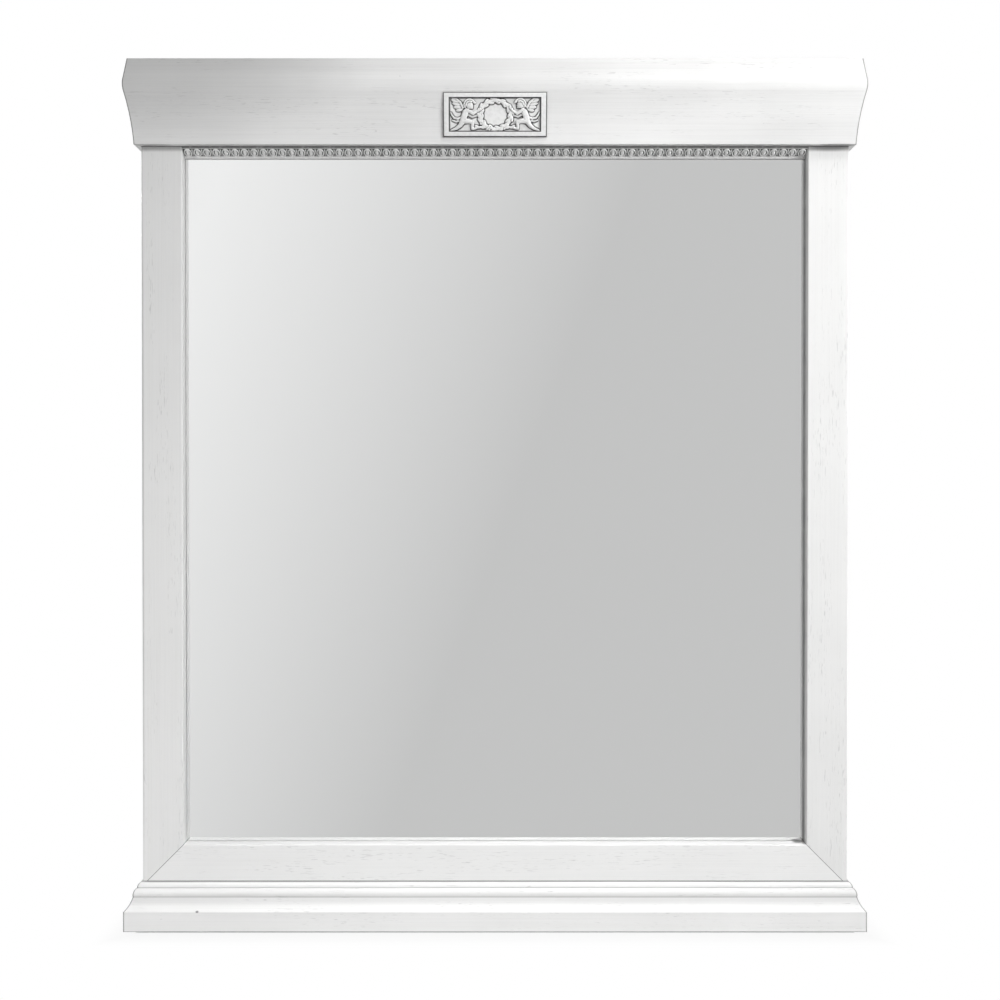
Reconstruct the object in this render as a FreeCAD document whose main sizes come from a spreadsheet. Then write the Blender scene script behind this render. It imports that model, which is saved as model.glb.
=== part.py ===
import FreeCAD, Part
import os
import Sketcher

# Framed mirror with a coved crown, a moulded plinth and a relief plaque.
# The origin is the middle of the rectangle that the mirror covers on the floor.
# +X is to the viewer's right, the wall is on the +Y side and +Z is up.
# A reach is a distance in front of the face of the frame, or beside the frame on the returns.
# A rise is a height above the floor, or above the edge that the name gives.

# Driving sizes in millimetres, and angles in degrees
SIZES = {
    # Frame members and the rebate that holds the glass
    "overall_height": 1167.5,
    "frame_width": 954.0,
    "member_width": 55.0,
    "glass_setback": 17.0,
    "rebate_width": 10.0,
    "edge_ease": 1.5,
    # Glass, cushion sheet and backing panel
    "glass_thickness": 4.0,
    "cushion_thickness": 1.0,
    "backing_thickness": 6.0,
    "glass_edge_clearance": 1.5,
    "setting_block_height": 2.0,
    "setting_block_length": 40.0,
    # Crown moulding, mitred at the front corners and returned along the stiles' sides
    "crown_height": 112.6,
    "crown_foot_reach": 7.8,
    "crown_cove_end_reach": 18.6,
    "crown_cove_end_rise": 69.0,
    "crown_cove_depth": 1.7,
    "crown_nose_reach": 18.8,
    "crown_nose_rise": 86.0,
    "crown_nose_bulge": 0.9,
    "crown_lip_reach": 14.6,
    "stile_top_drop": 2.0,
    "crown_screw_low_rise": 40.0,
    "crown_screw_row_gap": 45.0,
    # Carved strip under the crown
    "strip_height": 12.7,
    "strip_fillet_height": 3.4,
    "strip_foot_height": 2.2,
    "strip_foot_depth": 3.0,
    "strip_bulge": 2.6,
    "strip_end_clearance": 0.2,
    # Relief plaque on the crown
    "plaque_width": 138.0,
    "plaque_height": 57.4,
    "plaque_thickness": 7.0,
    "plaque_border": 7.2,
    "plaque_side_border": 8.2,
    "plaque_recess": 2.6,
    "plaque_lean_angle": 8.3,
    "plaque_foot_reach": 11.2,
    "plaque_foot_rise": 9.3,
    "plaque_seat_clearance": 0.3,
    "wreath_radius": 18.6,
    "wreath_tube_radius": 3.4,
    # Plinth: a plain board under the frame, and a moulding round it that laps over the joint
    "plinth_height": 61.4,
    "plinth_lap": 5.5,
    "plinth_reach": 20.6,
    "fascia_height": 26.4,
    "fascia_ease": 0.8,
    "plinth_cove_top_reach": 10.6,
    "plinth_cove_top_rise": 43.5,
    "plinth_cove_depth": 1.2,
    "plinth_ovolo_top_reach": 7.4,
    "plinth_ovolo_top_rise": 54.0,
    "plinth_ovolo_bulge": 1.4,
    "plinth_quirk_reach": 6.0,
    "plinth_quirk_height": 1.2,
    "plinth_bead_top_reach": 1.4,
    "plinth_bead_bulge": 1.3,
    # Turn buttons that hold the backing panel
    "button_length": 34.0,
    "button_width": 12.0,
    "button_thickness": 1.5,
    "button_lift": 0.2,
    "button_pivot_setback": 12.0,
    "button_running_clearance": 0.05,
    "button_screw_radius": 2.0,
    "button_screw_length": 14.0,
    "button_screw_head_radius": 3.8,
    "button_screw_head_height": 1.6,
    "button_screw_head_gap": 0.2,
    # Raised keyhole hangers on the backs of the stiles. The drop is from the stiles' tops
    "hanger_drop": 190.0,
    "hanger_width": 18.0,
    "hanger_height": 68.0,
    "hanger_thickness": 1.5,
    "hanger_raise": 3.6,
    "hanger_flange_height": 14.0,
    "hanger_ramp_height": 3.0,
    "hanger_entry_radius": 5.0,
    "hanger_entry_drop": 8.0,
    "hanger_slot_radius": 2.5,
    "hanger_slot_length": 16.0,
    "hanger_screw_inset": 7.0,
    "hanger_screw_radius": 1.6,
    "hanger_screw_length": 15.0,
    "hanger_screw_head_radius": 3.2,
    "hanger_screw_head_height": 1.8,
    # Wall bumpers
    "bumper_radius": 8.0,
    "bumper_height": 6.0,
    "bumper_dome_height": 1.0,
    "bumper_side_inset": 18.0,
    "bumper_low_inset": 24.0,
    "bumper_high_inset": 42.0,
    # Wood screws through the top rail and up through the plinth
    "wood_screw_radius": 2.2,
    "wood_screw_head_radius": 4.2,
    "wood_screw_head_height": 2.6,
    "wood_screw_sink": 1.0,
    "crown_screw_length": 35.0,
    "plinth_screw_length": 44.0,
    "plinth_screw_sink": 38.0,
    "screw_tip_length": 4.0,
    "screw_clearance": 0.15,
    # Dowels
    "dowel_radius": 4.0,
    "dowel_length": 36.0,
    "dowel_clearance": 0.1,
    "rail_dowel_first_rise": 22.0,
    "rail_dowel_gap": 42.0,
    "mitre_dowel_gap": 18.0,
    # Extra length of every cut beyond the face that it opens
    "overrun": 2.0,
}

# Shares of the opening at which the turn buttons, blocks and screws stand
SIDE_BUTTON_SHARES = (0.25, 0.75)
RAIL_BUTTON_SHARE = 0.2
SETTING_BLOCK_SHARE = 0.3
PLINTH_SCREW_SHARE = 0.84
PLINTH_SCREW_COUNT = 4
CROWN_SCREW_COUNT = 5

# Height of a quarter arc above its chord, as a share of its radius
QUARTER_SHARE = "(1 - sqrt(2) / 2)"

# Places worked out from the driving sizes
PLACES = {
    "frame_thickness": "=sizes.glass_setback + sizes.glass_thickness"
                       " + sizes.cushion_thickness + sizes.backing_thickness",
    "depth": "=sizes.plinth_reach + frame_thickness + sizes.bumper_height",
    "face_y": "=sizes.plinth_reach - depth / 2",
    "back_y": "=face_y + frame_thickness",
    "frame_half": "=sizes.frame_width / 2",
    "opening_half": "=frame_half - sizes.member_width",
    "rebate_half": "=opening_half + sizes.rebate_width",
    "land_centre": "=(rebate_half + frame_half) / 2",
    "frame_bottom": "=sizes.plinth_height - sizes.plinth_lap",
    "opening_bottom": "=frame_bottom + sizes.member_width",
    "rebate_bottom": "=opening_bottom - sizes.rebate_width",
    "crown_bottom": "=sizes.overall_height - sizes.crown_height",
    "rail_bottom": "=crown_bottom",
    "opening_top": "=rail_bottom - sizes.strip_height",
    "stile_top": "=sizes.overall_height - sizes.stile_top_drop",
    "opening_height": "=opening_top - opening_bottom",
    "crown_screw_x": "=land_centre",
    "crown_screw_pitch": "=crown_screw_x * 2 / (%d - 1)" % CROWN_SCREW_COUNT,
    "crown_screw_z": "=rail_bottom + sizes.crown_screw_low_rise",
    "glass_half": "=rebate_half - sizes.glass_edge_clearance",
    "glass_bottom": "=rebate_bottom + sizes.setting_block_height",
    "glass_top": "=rail_bottom - sizes.glass_edge_clearance",
    "pivot_half": "=rebate_half + sizes.button_pivot_setback",
    "pivot_low": "=rebate_bottom - sizes.button_pivot_setback",
    "pivot_high": "=rail_bottom + sizes.button_pivot_setback",
    "mitre_mid_x": "=frame_half - sizes.member_width / 2",
    "mitre_mid_z": "=frame_bottom + sizes.member_width / 2",
    "hanger_z": "=stile_top - sizes.hanger_drop",
    "hanger_screw_offset": "=sizes.hanger_height / 2 - sizes.hanger_screw_inset",
    "dowel_depth": "=sizes.glass_setback / 2",
    "plinth_screw_x": "=frame_half * %s" % PLINTH_SCREW_SHARE,
}

# Numbers by which a sketch knows its origin and the points of a line, arc or circle
ORIGIN_INDEX = (-1, 1)
START_INDEX = 1
END_INDEX = 2
CENTRE_INDEX = 3

doc = FreeCAD.newDocument("framed_mirror")
nodes = []


def add_sheet(name, cells):
    """Makes a sheet with one named cell for each entry."""
    sheet = doc.addObject("Spreadsheet::Sheet", name)
    for row, (alias, content) in enumerate(cells.items(), start=1):
        sheet.set("A%d" % row, alias)
        sheet.set("B%d" % row, str(content))
        sheet.setAlias("B%d" % row, alias)
    doc.recompute()
    return sheet


add_sheet("sizes", SIZES)
places = add_sheet("places", PLACES)


def value(expression):
    """The number that an expression on the two sheets gives."""
    return float(places.evalExpression(expression))


def behind(expression):
    """Local Y of a point that lies behind the face by the given distance."""
    return "(%s)" % expression


def before(expression):
    """Local Y of a point that lies in front of the face by the given reach."""
    return "-(%s)" % expression


def bind(thing, names, expressions):
    for name, expression in zip(names, expressions):
        thing.setExpression(name, expression)


def place(thing, x, y, z, rotation=FreeCAD.Rotation()):
    """Puts an object at a point given by expressions, with a fixed turn."""
    thing.Placement = FreeCAD.Placement(FreeCAD.Vector(), rotation)
    bind(thing, ("Placement.Base.x", "Placement.Base.y", "Placement.Base.z"), (x, y, z))


def new_body(label):
    """A body whose local Y is zero at the face of the frame."""
    body = doc.addObject("PartDesign::Body", label)
    body.Label = label
    place(body, "0", "places.face_y", "0")
    nodes.append(body)
    return body


def new_sketch(body, role, offset="0"):
    """A sketch on one of the body's own origin planes, moved along its normal."""
    plane = next(f for f in body.Origin.OriginFeatures if f.Role == role)
    sketch = body.newObject("Sketcher::SketchObject", body.Label + "_sketch")
    sketch.AttachmentSupport = (plane, [""])
    sketch.MapMode = "FlatFace"
    sketch.setExpression("AttachmentOffset.Base.z", offset)
    return sketch


def hold(sketch, geometry, point, x, y):
    """Ties one point of a sketch to the sheet by its two coordinates."""
    for kind, expression in (("DistanceX", x), ("DistanceY", y)):
        row = sketch.addConstraint(
            Sketcher.Constraint(kind, *ORIGIN_INDEX, geometry, point, value(expression)))
        sketch.setExpression("Constraints[%d]" % row, expression)


def arc_middle(start, end, rise):
    """Middle of the arc that stands the given rise to the right of its chord."""
    across = "((%s) - (%s))" % (end[0], start[0])
    along = "((%s) - (%s))" % (end[1], start[1])
    span = "sqrt(%s * %s + %s * %s)" % (across, across, along, along)
    middle_x = "((%s) + (%s)) / 2 + (%s) * %s / %s" % (start[0], end[0], rise, along, span)
    middle_y = "((%s) + (%s)) / 2 - (%s) * %s / %s" % (start[1], end[1], rise, across, span)
    return middle_x, middle_y


def draw_outline(sketch, corners):
    """Closed outline. A corner's third entry is the rise of the arc that leads to it."""
    points = [FreeCAD.Vector(value(corner[0]), value(corner[1]), 0) for corner in corners]
    first = sketch.GeometryCount
    middles = {}
    for index, corner in enumerate(corners):
        previous = corners[index - 1]
        if len(corner) == 3:
            middles[index] = arc_middle(previous, corner, corner[2])
            middle = FreeCAD.Vector(*[value(part) for part in middles[index]], 0)
            arc = Part.Arc(points[index - 1], middle, points[index])
            sketch.addGeometry(arc, False)
        else:
            sketch.addGeometry(Part.LineSegment(points[index - 1], points[index]), False)
    ends = []
    for index, point in enumerate(points):
        ends.append(sorted(
            (START_INDEX, END_INDEX),
            key=lambda end: sketch.getPoint(first + index, end).distanceToPoint(point)))
    for index, corner in enumerate(corners):
        following = (index + 1) % len(corners)
        last = ends[index][0]
        next_first = ends[following][1]
        sketch.addConstraint(
            Sketcher.Constraint("Coincident", first + index, last, first + following, next_first))
        hold(sketch, first + index, last, corner[0], corner[1])
    for index, middle in middles.items():
        point = FreeCAD.Vector(value(middle[0]), value(middle[1]), 0)
        mark = sketch.addGeometry(Part.Point(point), True)
        hold(sketch, mark, START_INDEX, middle[0], middle[1])
        sketch.addConstraint(Sketcher.Constraint("PointOnObject", mark, START_INDEX, first + index))


def draw_rectangle(sketch, left, right, low, high):
    draw_outline(sketch, [(left, low), (right, low), (right, high), (left, high)])


def draw_circle(sketch, x, y, radius):
    circle = Part.Circle(FreeCAD.Vector(value(x), value(y), 0), FreeCAD.Vector(0, 0, 1), value(radius))
    index = sketch.addGeometry(circle, False)
    hold(sketch, index, CENTRE_INDEX, x, y)
    row = sketch.addConstraint(Sketcher.Constraint("Radius", index, value(radius)))
    sketch.setExpression("Constraints[%d]" % row, radius)


def add_pad(body, sketch, length, centred=False, reversed_way=False):
    pad = body.newObject("PartDesign::Pad", body.Label + "_pad")
    pad.Profile = sketch
    pad.Midplane = centred
    pad.Reversed = reversed_way
    pad.setExpression("Length", length)
    doc.recompute()
    return pad


def add_pocket(body, sketch, length, centred=False, reversed_way=False):
    pocket = body.newObject("PartDesign::Pocket", body.Label + "_pocket")
    pocket.Profile = sketch
    pocket.Midplane = centred
    pocket.Reversed = reversed_way
    pocket.setExpression("Length", length)
    doc.recompute()
    return pocket


def add_revolution(body, sketch):
    """Turns a half section, drawn on the XZ plane, about the local Z axis."""
    turned = body.newObject("PartDesign::Revolution", body.Label + "_revolution")
    turned.Profile = sketch
    turned.ReferenceAxis = (sketch, ["V_Axis"])
    doc.recompute()
    return turned


def add_pattern(body, feature, steps):
    """Repeats a feature. Each step is an axis role, a total length and a count."""
    pattern = body.newObject("PartDesign::LinearPattern", body.Label + "_pattern")
    pattern.Originals = [feature]
    for suffix, (role, length, count) in zip(("", "2"), steps):
        axis = next(f for f in body.Origin.OriginFeatures if f.Role == role)
        setattr(pattern, "Direction" + suffix, (axis, [""]))
        setattr(pattern, "Occurrences" + suffix, count)
        pattern.setExpression("Length" + suffix, length)
    body.Tip = pattern
    doc.recompute()
    return pattern


# Turns that carry the local Z axis to the direction that the name gives
TURNS = {
    "up": FreeCAD.Rotation(),
    "forward": FreeCAD.Rotation(FreeCAD.Vector(1, 0, 0), 90),
    "right": FreeCAD.Rotation(FreeCAD.Vector(0, 1, 0), 90),
    "up_right": FreeCAD.Rotation(FreeCAD.Vector(0, 1, 0), 45),
    "up_left": FreeCAD.Rotation(FreeCAD.Vector(0, 1, 0), -45),
}


def drill(body, x, y, z, way, radius, depth):
    """A round hole that starts at a point of the body's own frame."""
    hole = body.newObject("PartDesign::SubtractiveCylinder", body.Label + "_hole")
    place(hole, x, y, z, TURNS[way])
    bind(hole, ("Radius", "Height"), (radius, depth))
    doc.recompute()
    return hole


def drill_from_back(body, x, z, radius, depth):
    back = behind("places.frame_thickness + sizes.overrun")
    return drill(body, x, back, z, "forward", radius, "%s + sizes.overrun" % depth)


def screw_half_section(length, radius, head_radius, head_height):
    """Half section of a screw whose head lies on the floor and whose tip points up."""
    dome_rise = "%s / 4" % head_height
    return [
        ("0", "0"),
        (head_radius, "%s / 2" % head_height, dome_rise),
        (head_radius, head_height),
        (radius, head_height),
        (radius, "%s - sizes.screw_tip_length" % length),
        ("0", length),
    ]


def add_screws(label, x, y, z, way, section, steps):
    """A group of equal screws, placed by the first one's head."""
    body = new_body(label)
    place(body, x, y, z, TURNS[way])
    sketch = new_sketch(body, "XZ_Plane")
    draw_outline(sketch, section)
    turned = add_revolution(body, sketch)
    if steps:
        add_pattern(body, turned, steps)
    return body


# Stiles

def stile_section(side):
    """Section of a stile with its eased front edges and its glass rebate."""
    ease_rise = "%d * sizes.edge_ease * %s" % (side, QUARTER_SHARE)

    def across(expression):
        return "%d * (%s)" % (side, expression)

    return [
        (across("places.opening_half + sizes.edge_ease"), "0", ease_rise),
        (across("places.frame_half - sizes.edge_ease"), "0"),
        (across("places.frame_half"), "sizes.edge_ease", ease_rise),
        (across("places.frame_half"), "places.frame_thickness"),
        (across("places.rebate_half"), "places.frame_thickness"),
        (across("places.rebate_half"), "sizes.glass_setback"),
        (across("places.opening_half"), "sizes.glass_setback"),
        (across("places.opening_half"), "sizes.edge_ease"),
    ]


def mitre_dowel_places(side):
    """Starts of the two dowels across one mitre, inside the rail."""
    for step in (-1, 1):
        shift = "%d * sizes.mitre_dowel_gap / sqrt(8)" % step
        back_off = "sizes.dowel_length / sqrt(8)"
        x = "%d * (places.mitre_mid_x - %s - %s)" % (side, shift, back_off)
        z = "places.mitre_mid_z + %s - %s" % (shift, back_off)
        yield x, z


def cut_mitre_dowels(body, side):
    way = "up_right" if side > 0 else "up_left"
    radius = "sizes.dowel_radius + sizes.dowel_clearance"
    for x, z in mitre_dowel_places(side):
        drill(body, x, behind("places.dowel_depth"), z, way, radius, "sizes.dowel_length")


def rail_dowel_rises():
    first = "places.rail_bottom + sizes.rail_dowel_first_rise"
    return [first, "%s + sizes.rail_dowel_gap" % first]


def cut_rail_dowels(body, side):
    """Holes across the joint between a stile and the top rail."""
    start = "%d * places.opening_half - sizes.dowel_length / 2" % side
    radius = "sizes.dowel_radius + sizes.dowel_clearance"
    for rise in rail_dowel_rises():
        drill(body, start, behind("places.dowel_depth"), rise, "right", radius, "sizes.dowel_length")


def drill_hanger_pilots(body, side):
    for way in (-1, 1):
        rise = "places.hanger_z + %d * places.hanger_screw_offset" % way
        drill_from_back(body, "%d * places.land_centre" % side, rise,
                        "sizes.hanger_screw_radius + sizes.screw_clearance",
                        "(sizes.hanger_screw_length - sizes.hanger_screw_head_height"
                        " - sizes.hanger_thickness + sizes.screw_clearance)")


def side_button_rises():
    return ["places.opening_bottom + places.opening_height * %s" % share for share in SIDE_BUTTON_SHARES]


def drill_button_pilot(body, x, z):
    drill_from_back(body, x, z, "sizes.button_screw_radius + sizes.screw_clearance",
                    "(sizes.button_screw_length + sizes.screw_clearance)")


def crown_screw_places():
    """Places along X of the screws that hold the crown, from stile to stile."""
    return ["-places.crown_screw_x + %d * places.crown_screw_pitch" % index
            for index in range(CROWN_SCREW_COUNT)]


def drill_crown_screws(body, x):
    """Two sunk holes, one above the other, for the screws that hold the crown."""
    for rise in ("places.crown_screw_z", "places.crown_screw_z + sizes.crown_screw_row_gap"):
        drill_from_back(body, x, rise, "sizes.wood_screw_radius + sizes.screw_clearance",
                        "places.frame_thickness + sizes.overrun")
        drill_from_back(body, x, rise, "sizes.wood_screw_head_radius + sizes.screw_clearance",
                        "(sizes.wood_screw_sink + sizes.wood_screw_head_height)")


def make_stile(label, side):
    body = new_body(label)
    section = new_sketch(body, "XY_Plane", "places.frame_bottom")
    draw_outline(section, stile_section(side))
    add_pad(body, section, "places.stile_top - places.frame_bottom")
    mitre = new_sketch(body, "XZ_Plane")
    inner = "%d * (places.opening_half - sizes.overrun)" % side
    outer = "%d * (places.frame_half + sizes.overrun)" % side
    draw_outline(mitre, [
        (inner, "places.frame_bottom - sizes.overrun"),
        (outer, "places.frame_bottom - sizes.overrun"),
        (inner, "places.opening_bottom + sizes.overrun"),
    ])
    add_pocket(body, mitre, "2 * (places.frame_thickness + sizes.overrun)", centred=True)
    cut_mitre_dowels(body, side)
    cut_rail_dowels(body, side)
    drill_hanger_pilots(body, side)
    for rise in side_button_rises():
        drill_button_pilot(body, "%d * places.pivot_half" % side, rise)
    drill_crown_screws(body, "%d * places.crown_screw_x" % side)
    return body


make_stile("left_stile", -1)
make_stile("right_stile", 1)


# Bottom rail, mitred to the stiles

def plinth_screw_places():
    """Places along X of the screws that come up through the plinth."""
    step = "2 * places.plinth_screw_x / %d" % (PLINTH_SCREW_COUNT - 1)
    return ["-places.plinth_screw_x + %d * %s" % (index, step) for index in range(PLINTH_SCREW_COUNT)]


def make_bottom_rail():
    body = new_body("bottom_rail")
    section = new_sketch(body, "YZ_Plane")
    ease_rise = "-sizes.edge_ease * %s" % QUARTER_SHARE
    draw_outline(section, [
        ("0", "places.frame_bottom + sizes.edge_ease", ease_rise),
        ("0", "places.opening_bottom - sizes.edge_ease"),
        ("sizes.edge_ease", "places.opening_bottom", ease_rise),
        ("sizes.glass_setback", "places.opening_bottom"),
        ("sizes.glass_setback", "places.rebate_bottom"),
        ("places.frame_thickness", "places.rebate_bottom"),
        ("places.frame_thickness", "places.frame_bottom"),
        ("sizes.edge_ease", "places.frame_bottom"),
    ])
    add_pad(body, section, "sizes.frame_width", centred=True)
    mitres = new_sketch(body, "XZ_Plane")
    for side in (-1, 1):
        outer = "%d * (places.frame_half + sizes.overrun)" % side
        inner = "%d * (places.opening_half - sizes.overrun)" % side
        draw_outline(mitres, [
            (outer, "places.frame_bottom - sizes.overrun"),
            (outer, "places.opening_bottom + sizes.overrun"),
            (inner, "places.opening_bottom + sizes.overrun"),
        ])
    add_pocket(body, mitres, "2 * (places.frame_thickness + sizes.overrun)", centred=True)
    for side in (-1, 1):
        cut_mitre_dowels(body, side)
        drill_button_pilot(body, "%d * places.opening_half * 2 * %s" % (side, RAIL_BUTTON_SHARE),
                           "places.pivot_low")
    for x in plinth_screw_places():
        drill(body, x, behind("places.frame_thickness / 2"), "places.frame_bottom - sizes.overrun", "up",
              "sizes.wood_screw_radius + sizes.screw_clearance",
              "sizes.plinth_screw_length + sizes.plinth_screw_sink + sizes.screw_clearance"
              " - places.frame_bottom + sizes.overrun")
    return body


make_bottom_rail()


# Top rail behind the crown, with stub ends that fill the stiles' rebates. Its underside is the crown's

def make_top_rail():
    body = new_body("top_rail")
    section = new_sketch(body, "XY_Plane", "places.rail_bottom")
    draw_outline(section, [
        ("-places.opening_half", "0"),
        ("places.opening_half", "0"),
        ("places.opening_half", "sizes.glass_setback"),
        ("places.rebate_half", "sizes.glass_setback"),
        ("places.rebate_half", "places.frame_thickness"),
        ("-places.rebate_half", "places.frame_thickness"),
        ("-places.rebate_half", "sizes.glass_setback"),
        ("-places.opening_half", "sizes.glass_setback"),
    ])
    add_pad(body, section, "places.stile_top - places.rail_bottom")
    for side in (-1, 1):
        cut_rail_dowels(body, side)
        drill_button_pilot(body, "%d * places.opening_half * 2 * %s" % (side, RAIL_BUTTON_SHARE),
                           "places.pivot_high")
    for x in crown_screw_places()[1:-1]:
        drill_crown_screws(body, x)
    return body


make_top_rail()


# Mouldings of the crown and the plinth, mitred at the frame's front corners

def front_reach(reach):
    """Place of a reach in a section across a front moulding."""
    return before(reach)


def side_reach(side):
    """Places of reaches in a section across a return."""
    return lambda reach: "%d * (places.frame_half + %s)" % (side, reach)


def cut_corner(body, side, reach, bottom, top, is_return):
    """Mitres an end along the upright plane that leaves the frame's front corner at 45 degrees."""
    far = "(%s + sizes.overrun)" % reach
    near_x = "%d * (places.frame_half - sizes.overrun)" % side
    far_x = "%d * (places.frame_half + %s)" % (side, far)
    waste = (near_x, "-%s" % far) if is_return else (far_x, "sizes.overrun")
    mitre = new_sketch(body, "XY_Plane", "%s + sizes.overrun" % top)
    draw_outline(mitre, [(near_x, "sizes.overrun"), (far_x, "-%s" % far), waste])
    add_pocket(body, mitre, "%s - %s + 2 * sizes.overrun" % (top, bottom))


def make_front_moulding(label, profile, reach, bottom, top):
    body = new_body(label)
    section = new_sketch(body, "YZ_Plane")
    draw_outline(section, profile(front_reach, 1))
    add_pad(body, section, "2 * (places.frame_half + %s + sizes.overrun)" % reach, centred=True)
    for side in (-1, 1):
        cut_corner(body, side, reach, bottom, top, is_return=False)
    return body


def make_return(label, side, profile, reach, bottom, top):
    body = new_body(label)
    section = new_sketch(body, "XZ_Plane", "-places.frame_thickness")
    draw_outline(section, profile(side_reach(side), -side))
    add_pad(body, section, "places.frame_thickness + %s + sizes.overrun" % reach)
    cut_corner(body, side, reach, bottom, top, is_return=True)
    return body


# Crown

def crown_profile(across, way):
    """Section of the crown: cove, nose and lip before a flat back."""
    rise = "places.crown_bottom + %s"
    return [
        (across("0"), "places.crown_bottom"),
        (across("sizes.crown_foot_reach"), "places.crown_bottom"),
        (across("sizes.crown_cove_end_reach"), rise % "sizes.crown_cove_end_rise",
         "%d * sizes.crown_cove_depth" % way),
        (across("sizes.crown_nose_reach"), rise % "sizes.crown_nose_rise",
         "%d * sizes.crown_nose_bulge" % -way),
        (across("sizes.crown_lip_reach"), "sizes.overall_height"),
        (across("0"), "sizes.overall_height"),
    ]


CROWN = (crown_profile, "sizes.crown_nose_reach + sizes.crown_nose_bulge",
         "places.crown_bottom", "sizes.overall_height")


def plaque_point(outward, upward):
    """Point of the plaque's section: out of its face, and up along its slope."""
    lean = "sizes.plaque_lean_angle"
    reach = "sizes.plaque_foot_reach + (%s) * cos(%s) + (%s) * sin(%s)" % (outward, lean, upward, lean)
    rise = "places.crown_bottom + sizes.plaque_foot_rise - (%s) * sin(%s) + (%s) * cos(%s)" % (
        outward, lean, upward, lean)
    return before(reach), rise


def cut_plaque_seat(body):
    seat = new_sketch(body, "YZ_Plane")
    fit = "sizes.plaque_seat_clearance"
    draw_outline(seat, [
        plaque_point("sizes.overrun + sizes.plaque_thickness", "-(%s)" % fit),
        plaque_point("sizes.overrun + sizes.plaque_thickness", "sizes.plaque_height + %s" % fit),
        plaque_point("-sizes.plaque_thickness", "sizes.plaque_height + %s" % fit),
        plaque_point("-sizes.plaque_thickness", "-(%s)" % fit),
    ])
    add_pocket(body, seat, "sizes.plaque_width + 2 * %s" % fit, centred=True)


def drill_crown_threads(body, x):
    """Holes for the ends of the crown screws, drilled in from the frame's face."""
    depth = ("sizes.wood_screw_sink + sizes.crown_screw_length + sizes.screw_clearance"
             " - places.frame_thickness + sizes.overrun")
    for rise in ("places.crown_screw_z", "places.crown_screw_z + sizes.crown_screw_row_gap"):
        drill(body, x, "sizes.overrun", rise, "forward",
              "sizes.wood_screw_radius + sizes.screw_clearance", depth)


crown_moulding = make_front_moulding("crown_moulding", *CROWN)
cut_plaque_seat(crown_moulding)
for x in crown_screw_places():
    drill_crown_threads(crown_moulding, x)
make_return("crown_left_return", -1, *CROWN)
make_return("crown_right_return", 1, *CROWN)


# Carved strip between the stiles, which also keeps the top of the glass

def make_strip():
    body = new_body("egg_and_dart_strip")
    section = new_sketch(body, "YZ_Plane")
    draw_outline(section, [
        ("0", "places.rail_bottom"),
        ("0", "places.rail_bottom - sizes.strip_fillet_height"),
        ("sizes.glass_setback - sizes.strip_foot_depth", "places.opening_top + sizes.strip_foot_height",
         "-sizes.strip_bulge"),
        ("sizes.glass_setback - sizes.strip_foot_depth", "places.opening_top"),
        ("sizes.glass_setback", "places.opening_top"),
        ("sizes.glass_setback", "places.rail_bottom"),
    ])
    add_pad(body, section, "2 * (places.opening_half - sizes.strip_end_clearance)", centred=True)
    return body


make_strip()


# Relief plaque, drawn upright and then laid on the slope of the crown's cove

def make_plaque():
    body = new_body("relief_plaque")
    turn = FreeCAD.Rotation(FreeCAD.Vector(1, 0, 0), value("sizes.plaque_lean_angle"))
    place(body, "0", "places.face_y - sizes.plaque_foot_reach",
          "places.crown_bottom + sizes.plaque_foot_rise", turn)
    body.setExpression("Placement.Rotation.Angle", "sizes.plaque_lean_angle")
    blank = new_sketch(body, "XZ_Plane")
    draw_rectangle(blank, "-sizes.plaque_width / 2", "sizes.plaque_width / 2", "0", "sizes.plaque_height")
    add_pad(body, blank, "sizes.plaque_thickness", reversed_way=True)
    recess = new_sketch(body, "XZ_Plane")
    draw_rectangle(
        recess,
        "-sizes.plaque_width / 2 + sizes.plaque_side_border",
        "sizes.plaque_width / 2 - sizes.plaque_side_border",
        "sizes.plaque_border", "sizes.plaque_height - sizes.plaque_border")
    add_pocket(body, recess, "sizes.plaque_recess")
    ring = body.newObject("PartDesign::AdditiveTorus", "wreath")
    place(ring, "0", "sizes.plaque_recess", "sizes.plaque_height / 2", TURNS["forward"])
    bind(ring, ("Radius1", "Radius2"), ("sizes.wreath_radius", "sizes.wreath_tube_radius"))
    doc.recompute()
    return body


make_plaque()


# Plinth

def plinth_profile(across, way):
    """Section of the plinth's moulding: fascia, cove, ovolo, quirk and bead before a flat back."""
    return [
        (across("0"), "0"),
        (across("sizes.plinth_reach"), "0"),
        (across("sizes.plinth_reach"), "sizes.fascia_height"),
        (across("sizes.plinth_reach - sizes.fascia_ease"), "sizes.fascia_height + sizes.fascia_ease"),
        (across("sizes.plinth_cove_top_reach"), "sizes.plinth_cove_top_rise",
         "%d * sizes.plinth_cove_depth" % way),
        (across("sizes.plinth_ovolo_top_reach"), "sizes.plinth_ovolo_top_rise",
         "%d * sizes.plinth_ovolo_bulge" % -way),
        (across("sizes.plinth_quirk_reach"), "sizes.plinth_ovolo_top_rise"),
        (across("sizes.plinth_quirk_reach"), "sizes.plinth_ovolo_top_rise + sizes.plinth_quirk_height"),
        (across("sizes.plinth_bead_top_reach"), "sizes.plinth_height",
         "%d * sizes.plinth_bead_bulge" % -way),
        (across("0"), "sizes.plinth_height"),
    ]


PLINTH = (plinth_profile, "sizes.plinth_reach", "0", "sizes.plinth_height")


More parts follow.
